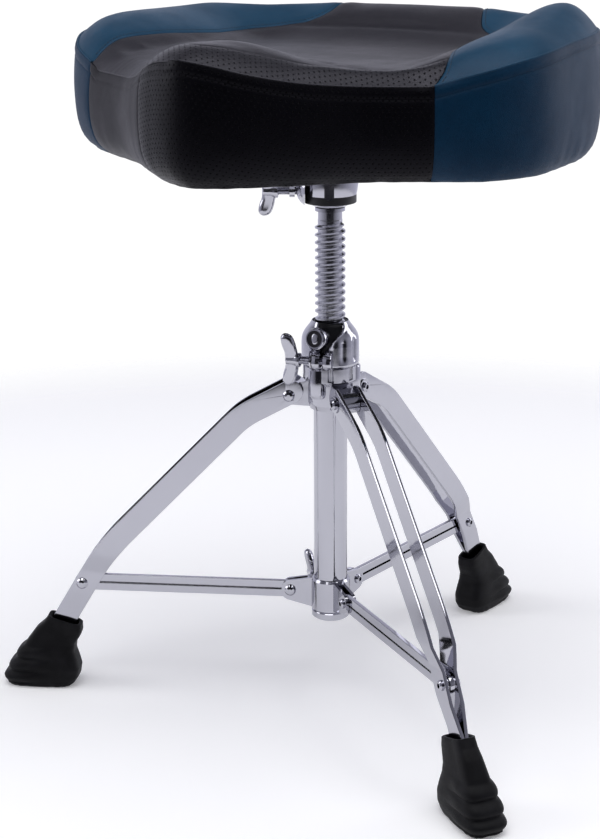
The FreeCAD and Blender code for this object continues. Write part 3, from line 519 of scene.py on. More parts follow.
def make_piece(name, points, faces, slot_name, flat=None, material=None):
    """A mesh piece of the seat. Points are (across, ahead, height) in millimetres."""
    turn = seat_matrix()
    corners = [turn @ Vector((x * MM, -y * MM, z * MM)) for x, y, z in points]
    mesh = bpy.data.meshes.new(name)
    mesh.from_pydata(corners, [], [list(face) for face in faces])
    mesh.validate()
    mesh.shade_smooth()
    if flat is not None:
        layer = mesh.uv_layers.new(name="millimetres")
        for loop in mesh.loops:
            layer.data[loop.index].uv = flat[loop.vertex_index]
    item = bpy.data.objects.new(name, mesh)
    bpy.context.collection.objects.link(item)
    mesh.materials.append(material or MATERIALS[slot_name])
    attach(item, "seat")
    return item


def thicken(item, thickness=1.4):
    """Give a cover panel the thickness of its leatherette, inwards."""
    solid = item.modifiers.new("thickness", "SOLIDIFY")
    solid.thickness = thickness * MM
    solid.offset = -1
    return item


def facing_up(points, faces):
    """Faces wound so that their normals point up."""
    wound = []
    for a, b, c in faces:
        area = (points[b][0] - points[a][0]) * (points[c][1] - points[a][1]) - (
            points[c][0] - points[a][0]
        ) * (points[b][1] - points[a][1])
        # ahead is -Y in the row frame, so the turn is the other way round there
        wound.append((a, c, b) if area > 0 else (a, b, c))
    return wound


def inside(points, polygon):
    """Which points lie inside a polygon."""
    x, y = points[:, 0], points[:, 1]
    hits = np.zeros(len(points), bool)
    for (x0, y0), (x1, y1) in zip(polygon, np.roll(polygon, -1, 0)):
        crosses = (y0 > y) != (y1 > y)
        if y0 != y1:
            hits ^= crosses & (x < (x1 - x0) * (y - y0) / (y1 - y0) + x0)
    return hits


def band_line():
    """Inner edge of the perforated band, from the left flank round the nose to the right."""
    along = np.arange(SEAMS["flank"], outline.length + SEAMS["right"] + BAND_END, LINE_STEP)
    inner, _ = outline.at(along, BAND)
    start, _ = outline.at([SEAMS["flank"]] * 10, np.linspace(EDGE_INSET, BAND - LINE_STEP, 10))
    return np.vstack([start, inner])


class TopMesh:
    """The top of the seat as one triangle mesh, cut along its seams."""

    def __init__(self, columns):
        self.edge, _ = outline.at(columns, EDGE_INSET)
        self.lines = {"right": self.seam_curve(RIGHT_SEAM), "left": self.seam_curve(LEFT_SEAM)}
        band = band_line()
        band[0] = self.snap(band[0])
        crossing = np.argmin(segment_gap(band[30:], self.lines["right"])) + 30
        self.lines["band"] = band[: crossing + 1]
        self.band_polygon = self.full_band(band)
        self.build(columns)

    def snap(self, point):
        """The nearest corner of the top's edge."""
        gaps = np.linalg.norm(self.edge - np.array(point), axis=1)
        return tuple(self.edge[int(np.argmin(gaps))])

    def seam_curve(self, seam):
        """A seam as a smooth curve that ends on corners of the edge."""
        return smooth_curve([self.snap(seam[0])] + seam[1:-1] + [self.snap(seam[-1])], False, LINE_STEP)

    def full_band(self, band):
        """The band's area, out past the edge."""
        along = np.arange(SEAMS["flank"], outline.length + SEAMS["right"] + BAND_END, 10)
        outer, _ = outline.at(along, -10)
        start, _ = outline.at([SEAMS["flank"]], -10)
        return np.vstack([band, outer[::-1], start])

    def scatter(self, columns):
        """Loose points: rings inside the edge, rows beside each seam, and a grid between."""
        loose = []
        for inset in (0.8, 1.9, 3.4, 5.4):
            ring, _ = outline.at(columns, EDGE_INSET + inset)
            loose.append(ring)
        for line in self.lines.values():
            step = np.gradient(line, axis=0)
            step /= np.linalg.norm(step, axis=1)[:, None]
            across = np.stack([-step[:, 1], step[:, 0]], 1)
            for gap in (0.7, 1.5, 2.5, 3.6):
                for side in (-1, 1):
                    loose.append(line + across * gap * side)
        low, high = self.edge.min(0), self.edge.max(0)
        pitch = 3.5
        rows = []
        for number, y in enumerate(np.arange(low[1], high[1], pitch * 0.866)):
            x = np.arange(low[0] + (number % 2) * pitch / 2, high[0], pitch)
            rows.append(np.stack([x, np.full(len(x), y)], 1))
        grid = np.vstack(rows)
        grid = grid[inside(grid, self.edge)]
        grid = grid[segment_gap(grid, np.vstack([self.edge, self.edge[:1]])[::2]) > 7.3]
        for line in self.lines.values():
            grid = grid[segment_gap(grid, line[::2] if len(line) > 40 else line) > 5.2]
        return loose, grid

    def build(self, columns):
        loose, grid = self.scatter(columns)
        places = [tuple(point) for point in self.edge]
        count = len(places)
        edges = [(i, (i + 1) % count) for i in range(count)]
        for line in self.lines.values():
            first = len(places)
            places.extend(tuple(point) for point in line)
            edges.extend((first + i, first + i + 1) for i in range(len(line) - 1))
        places.extend(self.spaced(loose, places))
        places.extend(tuple(point) for point in grid)
        result = geometry.delaunay_2d_cdt([Vector(place) for place in places], edges, [], 1, 1e-5)
        self.places = np.array([tuple(place) for place in result[0]])
        self.faces = facing_up([tuple(place) for place in result[0]], result[2])
        self.gap = segment_gap(self.places, np.vstack([self.edge, self.edge[:1]]))
        nearest = flat_tree(outline.points)
        self.along = np.array([outline.along[nearest.find((x, y, 0))[1]] for x, y in self.places])
        self.name_panels()

    def spaced(self, loose, places):
        """The loose points that lie on the seat and not too near another point."""
        taken = kdtree.KDTree(MOST_POINTS)
        number = 0
        for x, y in places:
            taken.insert((x, y, 0), number)
            number += 1
        taken.balance()
        kept = []
        for group in loose:
            fresh = [
                tuple(point)
                for point, ok in zip(group, inside(group, self.edge))
                if ok and taken.find((point[0], point[1], 0))[2] > 0.55
            ]
            kept.extend(fresh)
            for x, y in fresh:
                taken.insert((x, y, 0), number)
                number += 1
            taken.balance()
        return kept

    def name_panels(self):
        """Note which panel each face belongs to."""
        middles = np.array([self.places[list(face)].mean(0) for face in self.faces])
        self.panels = np.full(len(self.faces), "insert", dtype=object)
        self.panels[inside(middles, self.band_polygon)] = "band"
        self.panels[inside(middles, self.wing_polygon("right"))] = "right"
        self.panels[inside(middles, self.wing_polygon("left"))] = "left"

    def wing_polygon(self, name):
        """The wing's area, from its seam out past the edge."""
        side = 1 if name == "right" else -1
        line = self.lines[name]
        corners = [(side * 90, -260), (side * 320, -260), (side * 320, 260), (side * 165, 260)]
        return np.vstack([line, corners, [line[0] + (line[0] - line[1]) * 0.01]])

    def heights(self):
        x, y = self.places[:, 0], self.places[:, 1]
        roll = np.clip(1 - self.gap / ROLL, 0, 1) ** 2
        height = crown(x, y) - DROP * roll + extra_swell(x, y) * (1 - roll)
        soft = softness(self.along)
        height -= 2.4 * soft * np.clip(1 - self.gap / 9, 0, 1) ** 2
        height += front_roll(x, y, self.gap)
        for name, line in self.lines.items():
            gap = segment_gap(self.places, line)
            fade = ease(self.gap / 3)
            relief = seam_relief(gap) if name != "band" else seam_relief(gap, 0.6, 1.3, 0.3)
            height += relief * fade
            if name != "band":
                wingward = x * (1 if name == "right" else -1) > 0
                topstitch = -0.35 * np.exp(-(((gap - 3) / 0.7) ** 2))
                height += np.where(wingward & self.beyond(name), topstitch, 0) * fade
        spots = np.column_stack([x, y, height])
        height += 0.5 * cloud(spots, 55) + 0.16 * cloud(spots, 17, 5) * ease(self.gap / 10)
        height += thigh_wrinkles(x, y)
        return height

    def beyond(self, name):
        """Which corners lie on the wing's side of its seam."""
        return inside(self.places, self.wing_polygon(name))


def extra_swell(across, ahead):
    """How much further the padding stands above the edge at the wings and the rear."""
    rear, wing = saddle(across, ahead)
    right = 5 + 10 * ease((20 - ahead) / 90)
    left = 7.5 - 6.5 * ease((60 - ahead) / 110)
    return 3.0 * rear + wing * np.where(across > 0, right, left)


def front_roll(x, y, gap):
    """The padded roll along the front edge over each thigh."""
    thigh = ease((np.abs(x) - 52) / 25) * ease((158 - np.abs(x)) / 20) * ease((y - 88) / 25)
    return 3.2 * thigh * np.exp(-(((gap - 15) / 9) ** 2))


def thigh_wrinkles(x, y):
    """Fine creases where the insert is pulled round the left thigh cut-out."""
    near = np.exp(-(((x + 112) / 36) ** 2) - ((y - 122) / 26) ** 2)
    slant = (x + 112) * 0.82 + (y - 122) * 0.57
    along = (y - 122) * 0.82 - (x + 112) * 0.57
    waves = np.sin(slant / 1.25 + 1.6 * np.sin(along / 11)) * (0.55 + 0.45 * np.sin(along / 7 + slant / 9))
    return 0.22 * near * waves


def side_surface(columns):
    """Grid of the side from the top edge down round the base: points, and each row's depth."""
    edge, _ = outline.at(columns, EDGE_INSET)
    soft = softness(columns)
    top = crown(edge[:, 0], edge[:, 1]) - DROP - 2.4 * soft
    into_wing = ease((columns - SEAMS["right"] + 20) / 60) * ease((SEAMS["rear_left"] - columns) / 120)
    tuck = 13.5 - 6.5 * into_wing
    seam_gap = np.min([np.abs(columns - seam) for seam in SEAMS.values()], axis=0)
    grid = []
    for i, along in enumerate(columns):
        rows = []
        for depth in side_rows(top[i] - SEAT_LOW):
            up = top[i] - depth - SEAT_LOW
            lift = 1.6 * math.exp(-up / 5)
            inset = tuck[i] * math.exp(-up / 10) + EDGE_INSET * max(1 - depth / 30, 0) ** 2
            inset += 2.4 * soft[i] * max(1 - depth / 9, 0) ** 2
            inset -= 1.1 * math.sin(math.pi * min(up / max(top[i] - SEAT_LOW, 1), 1)) ** 2
            rows.append((inset, up + lift + SEAT_LOW, depth))
        for inset, height in ((1.5, 0.0), (5, -0.7), (11, -1.0), (18, -1.1), (20, -1.0)):
            rows.append((tuck[i] + inset, SEAT_LOW + height, 200 + inset))
        insets = np.array([row[0] for row in rows])
        depths = np.array([row[2] for row in rows])
        place, _ = outline.at(np.full(len(rows), along), insets)
        spots = np.column_stack([place, [row[1] for row in rows]])
        grid.append((spots, depths))
    points = np.array([spots for spots, _ in grid])
    depths = np.array([depth for _, depth in grid])
    _, normals = outline.at(columns)
    flat = points.reshape(-1, 3)
    relief = 0.55 * cloud(flat, 60, 9) + 0.18 * cloud(flat, 16, 3)
    relief = relief.reshape(depths.shape)
    low = np.exp(-np.abs(points[:, :, 2] - SEAT_LOW - 4) / 12)
    pucker = cloud(np.column_stack([columns, columns * 0, columns * 0]), 13, 2)[:, None]
    relief = relief + 1.3 * pucker * low
    relief = relief + seam_relief(seam_gap)[:, None] * ease(depths / 3) * (depths < 150)
    relief = relief - 0.75 * np.exp(-(((depths - STITCH_LINE) / 1.1) ** 2))
    relief = relief + 0.5 * np.exp(-(((depths - 4.2) / 2.2) ** 2)) * (1 - soft[:, None])
    relief = relief * ease(depths / 1.2) * (depths < 190)
    points[:, :, 0] += normals[:, None, 0] * relief
    points[:, :, 1] += normals[:, None, 1] * relief
    points[:, :, 2] += (0.7 * pucker * low) * (depths > 20)
    return points, depths


def split_side(columns, points, depths):
    """The side as one piece for each panel, with its hem folded under the seat."""
    count, rows = depths.shape
    panels = {}
    for i in range(count):
        j = (i + 1) % count
        middle = columns[i] + 0.01
        panels.setdefault(side_panel(middle), []).append((i, j))
    pieces = {}
    for name, pairs in panels.items():
        used, corners, flat, faces = {}, [], [], []

        def corner(i, row):
            if (i, row) not in used:
                used[i, row] = len(corners)
                corners.append(points[i, row])
                down = np.linalg.norm(np.diff(points[i, : row + 1], axis=0), axis=1).sum()
                past_nose = name == "front" and columns[i] > outline.length / 2
                flat.append((columns[i] - outline.length * past_nose, down))
            return used[i, row]

        for i, j in pairs:
            for row in range(rows - 1):
                faces.append((corner(i, row), corner(j, row), corner(j, row + 1), corner(i, row + 1)))
        pieces[name] = (corners, faces, flat)
    return pieces


SLOTS = {
    "insert": "smooth_leather",
    "thigh": "smooth_leather",
    "rear": "smooth_leather",
    "band": "perforated_leather",
    "front": "perforated_leather",
    "left": "blue_leather",
    "right": "blue_leather",
}


# The upright panels use copies of the same leatherettes with less gloss; the perforated and blue copies also
# have a darker base colour, which is painted shade on the sides.
SIDE_FINISHES = {
    "smooth_leather": "side_leather",
    "perforated_leather": "perforated_side_shaded",
    "blue_leather": "blue_side_shaded",
}


def closed_shell(top, spots, points):
    """Top, side and underside of the seat as one closed mesh object, in metres."""
    columns, rows = points.shape[:2]
    corners = [tuple(spot) for spot in spots * MM]
    faces = [face[::-1] for face in top.faces]
    base = len(corners)
    corners.extend(tuple(spot) for spot in points.reshape(-1, 3) * MM)
    for i in range(columns):
        j = (i + 1) % columns
        for row in range(rows - 1):
            a, b = base + i * rows + row, base + j * rows + row
            faces.append((a, a + 1, b + 1, b))
    middle = len(corners)
    corners.append((0, 0, (SEAT_LOW - 1) * MM))
    for i in range(columns):
        j = (i + 1) % columns
        faces.append((base + i * rows + rows - 1, middle, base + j * rows + rows - 1))
    mesh = bpy.data.meshes.new("shell")
    mesh.from_pydata(corners, [], faces)
    shell = bpy.data.objects.new("shell", mesh)
    bpy.context.collection.objects.link(shell)
    return shell


def seam_lines(top, points):
    """Every sewn line of the cover, as points in space."""
    height = top.heights()
    near = flat_tree(top.places)
    sewn = [tuple(point) for point in points[:, 0]]
    for line in top.lines.values():
        sewn.extend((x, y, height[near.find((x, y, 0))[1]]) for x, y in line)
    columns = stations()
    for seam in SEAMS.values():
        column = points[int(np.argmin(np.abs(columns - seam)))]
        for start, stop in zip(column[:-1], column[1:]):
            sewn.extend(tuple(start + (stop - start) * share) for share in (0, 0.33, 0.67))
    return sewn


def remeshed(shell):
    """The closed cover as an even mesh object for the simulation."""
    remesh = shell.modifiers.new("remesh", "REMESH")
    remesh.mode = "VOXEL"
    remesh.voxel_size = PUFF_VOXEL * MM
    graph = bpy.context.evaluated_depsgraph_get()
    mesh = bpy.data.meshes.new_from_object(shell.evaluated_get(graph))
    bpy.data.objects.remove(shell)
    cover = bpy.data.objects.new("cover_simulation", mesh)
    bpy.context.collection.objects.link(cover)
    return cover


def corner_places(mesh):
    """Places of a mesh's corners, in millimetres."""
    places = np.empty(len(mesh.vertices) * 3)
    mesh.vertices.foreach_get("co", places)
    return places.reshape(-1, 3) / MM


def hold_seams(cover, rest, sewn):
    """Vertex group that holds the cover at its seams and round its base."""
    seams = place_tree(sewn)
    group = cover.vertex_groups.new(name="sewn")
    for i, spot in enumerate(rest):
        gap = seams.find(spot)[2]
        held = 1.0 if gap < SEWN_REACH or spot[2] < SEAT_LOW + 3 else 0.0
        group.add([i], held, "REPLACE")


def blow_up(cover):
    """Run the cloth simulation and return the moved places."""
    cloth = cover.modifiers.new("cloth", "CLOTH")
    cloth.settings.quality = 6
    cloth.settings.mass = 0.4
    cloth.settings.tension_stiffness = 25
    cloth.settings.compression_stiffness = 25
    cloth.settings.shear_stiffness = 12
    cloth.settings.bending_stiffness = 2.5
    cloth.settings.vertex_group_mass = "sewn"
    cloth.settings.use_pressure = True
    cloth.settings.uniform_pressure_force = 4
    cloth.settings.effector_weights.gravity = 0
    cloth.point_cache.frame_start = 1
    cloth.point_cache.frame_end = PUFF_FRAMES
    scene = bpy.context.scene
    for number in range(1, PUFF_FRAMES + 1):
        scene.frame_set(number)
    graph = bpy.context.evaluated_depsgraph_get()
    moved = corner_places(cover.evaluated_get(graph).to_mesh())
    bpy.data.objects.remove(cover)
    scene.frame_set(1)
    return moved


def cloth_puff(top, spots, points):
    """Blow the cover up between its seams in a cloth simulation.

    Returns a function that gives the displacement, in millimetres, at places on the cover.
    The top moves much further than the limit, so there the limit sets the swell.
    """
    cover = remeshed(closed_shell(top, spots, points))
    rest = corner_places(cover.data)
    hold_seams(cover, rest, seam_lines(top, points))
    shift = blow_up(cover) - rest
    length = np.linalg.norm(shift, axis=1)[:, None]
    shift *= PUFF_LIMIT * np.tanh(length / PUFF_LIMIT) / np.maximum(length, 1e-6)
    tree = place_tree(rest)

    def displacement(places):
        result = np.zeros((len(places), 3))
        for i, place in enumerate(places):
            found = tree.find_n(place, 6)
            weights = np.array([1 / (gap + 0.6) ** 2 for _, _, gap in found])
            result[i] = weights @ shift[[index for _, index, _ in found]] / weights.sum()
        return result

    return displacement


def make_cover():
    """The sewn cover: four top panels and five side panels."""
    columns = stations()
    top = TopMesh(columns)
    height = top.heights()
    spots = np.column_stack([top.places, height])
    points, depths = side_surface(columns)
    puff = cloth_puff(top, spots, points)
    spots = spots + puff(spots)
    top.raised = spots[:, 2]
    points = points + puff(points.reshape(-1, 3)).reshape(points.shape)
    for name in ("insert", "band", "left", "right"):
        faces = [face for face, panel in zip(top.faces, top.panels) if panel == name]
        used = sorted({corner for face in faces for corner in face})
        lookup = {old: new for new, old in enumerate(used)}
        corners = spots[used]
        faces = [[lookup[corner] for corner in face] for face in faces]
        item = make_piece("seat_top_" + name, corners, faces, SLOTS[name], top.places[used])
        thicken(item)
    for name, (corners, faces, flat) in split_side(columns, points, depths).items():
        finish = MATERIALS[SIDE_FINISHES[SLOTS[name]]]
        item = make_piece("seat_side_" + name, corners, faces, SLOTS[name], flat, finish)
        thicken(item)
    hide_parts("cover_top", "seat_foam")
    for piece, node in (
        ("top_band", "cover_front"),
        ("side_front", "cover_front"),
        ("side_thigh", "cover_front"),
        ("top_left", "cover_left"),
        ("side_left", "cover_left"),
        ("top_right", "cover_right"),
        ("side_right", "cover_right"),
        ("side_rear", "cover_rear"),
    ):
        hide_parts(node)
    return columns, top, points, depths


def tube(name, spots, radius, slot_name, material, sides=8):
    """A round cord along a line of points, closed at its ends."""
    spots = np.array(spots, float)
    ahead = np.gradient(spots, axis=0)
    ahead /= np.linalg.norm(ahead, axis=1)[:, None]
    up = np.tile([0.0, 0.0, 1.0], (len(spots), 1))
    across = np.cross(ahead, up)
    across /= np.linalg.norm(across, axis=1)[:, None]
    over = np.cross(across, ahead)
    corners, faces = [], []
    for i in range(len(spots)):
        for k in range(sides):
            turn = 2 * math.pi * k / sides
            corners.append(spots[i] + radius * (math.cos(turn) * across[i] + math.sin(turn) * over[i]))
    for i in range(len(spots) - 1):
        for k in range(sides):
            a, b = i * sides + k, i * sides + (k + 1) % sides
            faces.append((a, b, b + sides, a + sides))
    faces.append(tuple(range(sides)))
    faces.append(tuple(range(len(corners) - sides, len(corners)))[::-1])
    return make_piece(name, corners, faces, slot_name, material=material)


def make_beads(columns, points):
    """The raised fold along the top edge."""
    ring = points[:, 0]
    for name, start, stop, slot_name in (
        ("front", 0.0, SEAMS["right"], "smooth_leather"),
        ("right", SEAMS["right"], SEAMS["rear_right"], "blue_leather"),
        ("rear", SEAMS["rear_right"], SEAMS["rear_left"], "smooth_leather"),
        ("left", SEAMS["rear_left"], SEAMS["left"], "blue_leather"),
    ):
        chosen = ring[(columns >= start - 0.01) & (columns <= stop + 0.01)]
        tube("seat_bead_" + name, chosen + [0, 0, 0.15], 0.95, slot_name, MATERIALS[slot_name])


def stitch_row(line, outward, length=2.3, gap=1.1, radius=0.32):
    """Small rounded stitches along a line, as (corners, faces)."""
    travelled = np.concatenate([[0], np.cumsum(np.linalg.norm(np.diff(line, axis=0), axis=1))])
    corners, faces = [], []
    profile = [(-0.5, 0.25), (-0.42, 0.8), (-0.2, 1.0), (0.2, 1.0), (0.42, 0.8), (0.5, 0.25)]
    for start in np.arange(0.6, travelled[-1] - length, length + gap):
        middle = start + length / 2

        def at(distance, data):
            return np.array([np.interp(distance, travelled, data[:, k]) for k in range(3)])

        ahead = at(start + length, line) - at(start, line)
        ahead /= np.linalg.norm(ahead)
        out = at(middle, outward)
        out -= ahead * (out @ ahead)
        out /= np.linalg.norm(out)
        side = np.cross(ahead, out)
        base = len(corners)
        for share, swell in profile:
            centre = at(middle, line) + ahead * share * length + out * radius * (0.9 * swell - 0.5)
            for k in range(6):
                turn = math.pi * k / 3
                corners.append(centre + radius * swell * (math.cos(turn) * side + math.sin(turn) * out))
        for ring in range(len(profile) - 1):
            for k in range(6):
                a = base + ring * 6 + k
                b = base + ring * 6 + (k + 1) % 6
                faces.append((a, b, b + 6, a + 6))
        faces.append(tuple(base + k for k in range(6))[::-1])
        faces.append(tuple(base + 30 + k for k in range(6)))
    return corners, faces


def make_stitches(columns, top, points, depths):
    """Real stitches: one line round the side, and a topstitch along each blue wing."""
    row = int(np.argmin(np.abs(depths[0] - STITCH_LINE)))
    _, normals = outline.at(columns)
    outward = np.column_stack([normals, np.zeros(len(columns))])
    line = np.vstack([points[:, row], points[:1, row]])
    outward = np.vstack([outward, outward[:1]])
    arc = np.concatenate([columns, [outline.length]])
    blue = ((arc >= SEAMS["right"]) & (arc <= SEAMS["rear_right"])) | (
        (arc >= SEAMS["rear_left"]) & (arc <= SEAMS["left"])
    )
    for number, chosen in enumerate(runs(blue)):
        kind = "blue" if blue[chosen[0]] else "black"
        slot_name = "blue_leather" if kind == "blue" else "smooth_leather"
        corners, faces = stitch_row(line[chosen], outward[chosen])
        name = "seat_stitches_%s_%d" % (kind, number)
        make_piece(name, corners, faces, slot_name, material=MATERIALS[kind + "_thread"])
    surface = flat_tree(top.places)
    height = top.raised
    for name, side in (("right", 1), ("left", -1)):
        seam = top.lines[name]
        step = np.gradient(seam, axis=0)
        step /= np.linalg.norm(step, axis=1)[:, None]
        across = np.stack([-step[:, 1], step[:, 0]], 1) * side
        if (across[:, 0] * side).mean() < 0:
            across = -across
        row = (seam + across * 3)[2:-2]
        lifted = []
        for x, y in row:
            near = surface.find_n((x, y, 0), 3)
            weight = [1 / (found[2] + 0.01) for found in near]
            lifted.append((x, y, sum(w * height[found[1]] for w, found in zip(weight, near)) / sum(weight)))
        lifted = np.array(lifted)
        up = np.tile([0.0, 0.0, 1.0], (len(lifted), 1))
        corners, faces = stitch_row(lifted, up)
        blue = MATERIALS["blue_thread"]
        make_piece("seat_topstitch_" + name, corners, faces, "blue_leather", material=blue)


def runs(flags):
    """Index runs of equal flags, each sharing its last corner with the next."""
    found, current = [], [0]
    for i in range(1, len(flags)):
        current.append(i)
        if flags[i] != flags[current[0]] or i == len(flags) - 1:
            found.append(np.array(current))
            current = [i]
    return [run for run in found if len(run) > 4]


def make_underside():
    """Lining cloth stapled over the cover's hem, round the mounting plate."""
    rings, rows = 14, 180
    corners, faces = [], []
    along = np.linspace(0, outline.length, rows, endpoint=False)
    rim, _ = outline.at(along, 24)
    for ring in range(1, rings + 1):
        share = ring / rings
        for x, y in rim * share:
            wave = 0.5 * noise.noise(Vector((x / 22, y / 22, 4)))
            dip = 2.2 * float(ease((share - 0.72) / 0.25))
            corners.append((x, y, SEAT_LOW + 0.35 - dip + wave * float(ease((share - 0.5) / 0.3))))
    corners.append((0, 0, SEAT_LOW + 0.35))
    for ring in range(rings - 1):
        for k in range(rows):
            a, b = ring * rows + k, ring * rows + (k + 1) % rows
            faces.append((a, a + rows, b + rows, b))
    faces.extend((len(corners) - 1, k, (k + 1) % rows) for k in range(rows))
    cloth = make_piece("seat_lining", corners, faces, "lining_cloth")
    thicken(cloth, 0.5)
    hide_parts("dust_cover")
    make_staples()


def make_staples():
    """Wire staples that hold the lining."""
    corners, faces = [], []
    rng = random.Random(5)
    for along in np.arange(8, outline.length, 24):
        spot, normal = outline.at([along + rng.uniform(-2, 2)], 28.5)
        (x, y), (nx, ny) = spot[0], normal[0]
        tilt = rng.uniform(-0.35, 0.35)
        tx = -ny * math.cos(tilt) + nx * math.sin(tilt)
        ty = nx * math.cos(tilt) + ny * math.sin(tilt)
        base = len(corners)
        sections = [(-5, 1.2), (-4.9, -0.2), (-4.3, -0.65), (4.3, -0.65), (4.9, -0.2), (5, 1.2)]
        for reach, rise in sections:
            for k in range(6):
                turn = math.pi * k / 3
                corners.append(
                    (
                        x + tx * reach + nx * 0.45 * math.cos(turn),
                        y + ty * reach + ny * 0.45 * math.cos(turn),
                        SEAT_LOW - 1.9 + rise + 0.3 * math.sin(turn),
                    )
                )
        for ring in range(5):
            for k in range(6):
                a, b = base + ring * 6 + k, base + ring * 6 + (k + 1) % 6
                faces.append((a, b, b + 6, a + 6))
    staples = make_piece("seat_staples", corners, faces, "zinc_steel")
    return staples


# ---------------------------------------------------------------- hard pieces


def make_solid(name, points, faces, slot_name, body, nodes, material=None):
    """A closed hard piece with points in millimetres in the row's frame."""
    mesh = bpy.data.meshes.new(name)
    mesh.from_pydata([Vector(point) * MM for point in points], [], [list(face) for face in faces])
    mesh.validate()
    mesh.shade_smooth()
    item = bpy.data.objects.new(name, mesh)
    bpy.context.collection.objects.link(item)
    mesh.materials.append(material or MATERIALS[slot_name])
    mesh.set_sharp_from_angle(angle=math.radians(38))
    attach(item, body)
    if nodes:
        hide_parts(*nodes)
    return item


def bridge(faces, first, second, count):
    """Join two rings of corners with quads."""
    for k in range(count):
        j = (k + 1) % count
        faces.append((first + k, first + j, second + j, second + k))


def rounded_box(phi, half_long, half_wide, power):
    """A point on a rounded rectangle."""
    c, s = math.cos(phi), math.sin(phi)
    x = math.copysign(abs(c) ** (2 / power), c) * half_long
    return x, math.copysign(abs(s) ** (2 / power), s) * half_wide


FOOT_BACK = [
    (0, 233), (3, 229), (8, 225.5), (16, 224.2), (24, 226), (32, 228.3), (40, 227.4),
    (50, 223.4), (56, 221.6),
]
FOOT_FRONT = [
    (0, 286), (3, 290), (10, 290.5), (20, 285.5), (30, 279), (40, 272.5), (50, 263.5),
    (56, 256), (64, 250.5),
]
FOOT_WIDE = [(0, 13.5), (3, 15.6), (9, 17), (18, 16.6), (28, 14.8), (40, 12.2), (52, 10.4), (64, 9.5)]
FOOT_RIBS = (9, 20.5, 32)
FOOT_TOP = 62.5


def along_profile(profile, height):
    heights, values = zip(*profile)
    return float(np.interp(height, heights, values))


def foot_ring(height, sides, shrink=0.0):
    """One level of the rubber foot: a rounded oblong with ribs round its toe."""
    level = min(height, FOOT_TOP)
    back = along_profile(FOOT_BACK, level) + shrink
    front = along_profile(FOOT_FRONT, level) - shrink
    half_wide = along_profile(FOOT_WIDE, level) - shrink
    half_long = (front - back) / 2
    slant = float(ease((level - 34) / (FOOT_TOP - 34))) * 0.30
    ring = []
    for k in range(sides):
        phi = 2 * math.pi * k / sides
        x, y = rounded_box(phi, half_long, half_wide, 4.2)
        toe = float(ease((x / half_long + 0.15) / 0.5))
        rib = max(0.0, *(math.cos(min(abs(level - rib) / 4.6, 1) * math.pi / 2) for rib in FOOT_RIBS)) ** 0.55
        swell = (3.1 * rib - 1.0) * toe * (level > 3) * (shrink == 0)
        lobes = 0.9 * abs(math.sin(phi * 9)) * max(1 - level / 6, 0) * (shrink == 0)
        out = math.hypot(x, y * 1.6)
        x += (swell + lobes) * x / out
        y += (swell * 0.8 + lobes) * y * 1.6 / out
        ring.append((back + half_long + x, y, height + slant * (x - 4)))
    return ring


def make_foot(name, azimuth):
    """Moulded rubber foot: ribbed toe, scalloped sole and a deep socket for both bars."""
    sides = 96
    levels = [0, 0.5, 1.4, 2.6] + [4 + 0.95 * step for step in range(61)] + [61.8, FOOT_TOP - 0.2]
    rings = [foot_ring(level, sides) for level in levels]
    rings[0] = [(x * 0.985 + 3.9, y * 0.93, 0) for x, y, z in rings[0]]
    rings.append([(x, y, z + 0.35) for x, y, z in foot_ring(FOOT_TOP, sides, 0.7)])
    rings.append([(x, y, z + 0.35) for x, y, z in foot_ring(FOOT_TOP, sides, 2.2)])
    rings.append([(x, y, z - 0.4) for x, y, z in foot_ring(FOOT_TOP, sides, 3.0)])
    rings.append([(x, y, z - 12) for x, y, z in foot_ring(FOOT_TOP, sides, 3.3)])
    points, faces = [], []
    c, s = math.cos(math.radians(azimuth)), math.sin(math.radians(azimuth))
    for ring in rings:
        points.extend((x * c - y * s, x * s + y * c, z) for x, y, z in ring)
    for row in range(len(rings) - 1):
        bridge(faces, row * sides, (row + 1) * sides, sides)
    faces.append(tuple(range(sides))[::-1])
    faces.append(tuple(range(len(points) - sides, len(points))))
    body = name.split("_")[0] + "_leg"
    make_solid(name + "_moulding", points, faces, "rubber", body, [name])


def pillow(line, thickness, edge, pitch=1.3, twist=0.0):
    """A flat lobe with rounded edges from its outline: points (x, y, z) and faces."""
    line = np.array(line)
    count = len(line)
    low, high = line.min(0), line.max(0)
    across, upward = np.arange(low[0], high[0], pitch), np.arange(low[1], high[1], pitch)
    grid = np.array([(x, y) for y in upward for x in across])
    grid = grid[inside(grid, line)]
    closed = np.vstack([line, line[:1]])
    gap = segment_gap(grid, closed)
    grid = grid[gap > 0.5]
    places = [Vector(spot) for spot in line] + [Vector(spot) for spot in grid]
    edges = [(i, (i + 1) % count) for i in range(count)]
    spots, _, triangles = geometry.delaunay_2d_cdt(places, edges, [], 1, 1e-4)[:3]
    flat = np.array([tuple(spot) for spot in spots])
    depth = np.clip(segment_gap(flat, closed) / edge, 0, 1)
    half = thickness / 2 * np.sqrt(np.clip(1 - (1 - depth) ** 2, 0, 1))
    middle = twist * np.sin(np.clip(flat[:, 0] / high[0], -1, 1) * math.pi / 2)
    over = np.column_stack([flat, middle + half])
    under = np.column_stack([flat, middle - half])
    total = len(flat)
    faces = []
    for a, b, c in triangles:
        first, second = flat[b] - flat[a], flat[c] - flat[a]
        if first[0] * second[1] - second[0] * first[1] < 0:
            b, c = c, b
        faces.append((a, b, c))
        faces.append((total + a, total + c, total + b))
    return np.vstack([over, under]), faces


def lathe(profile, sides=48):
    """A turned shape about Z from (radius, height) corners."""
    points, faces = [], []
    for radius, height in profile:
        for k in range(sides):
            turn = 2 * math.pi * k / sides
            points.append((radius * math.cos(turn), radius * math.sin(turn), height))
    for row in range(len(profile) - 1):
        bridge(faces, row * sides, (row + 1) * sides, sides)
    return np.array(points), faces


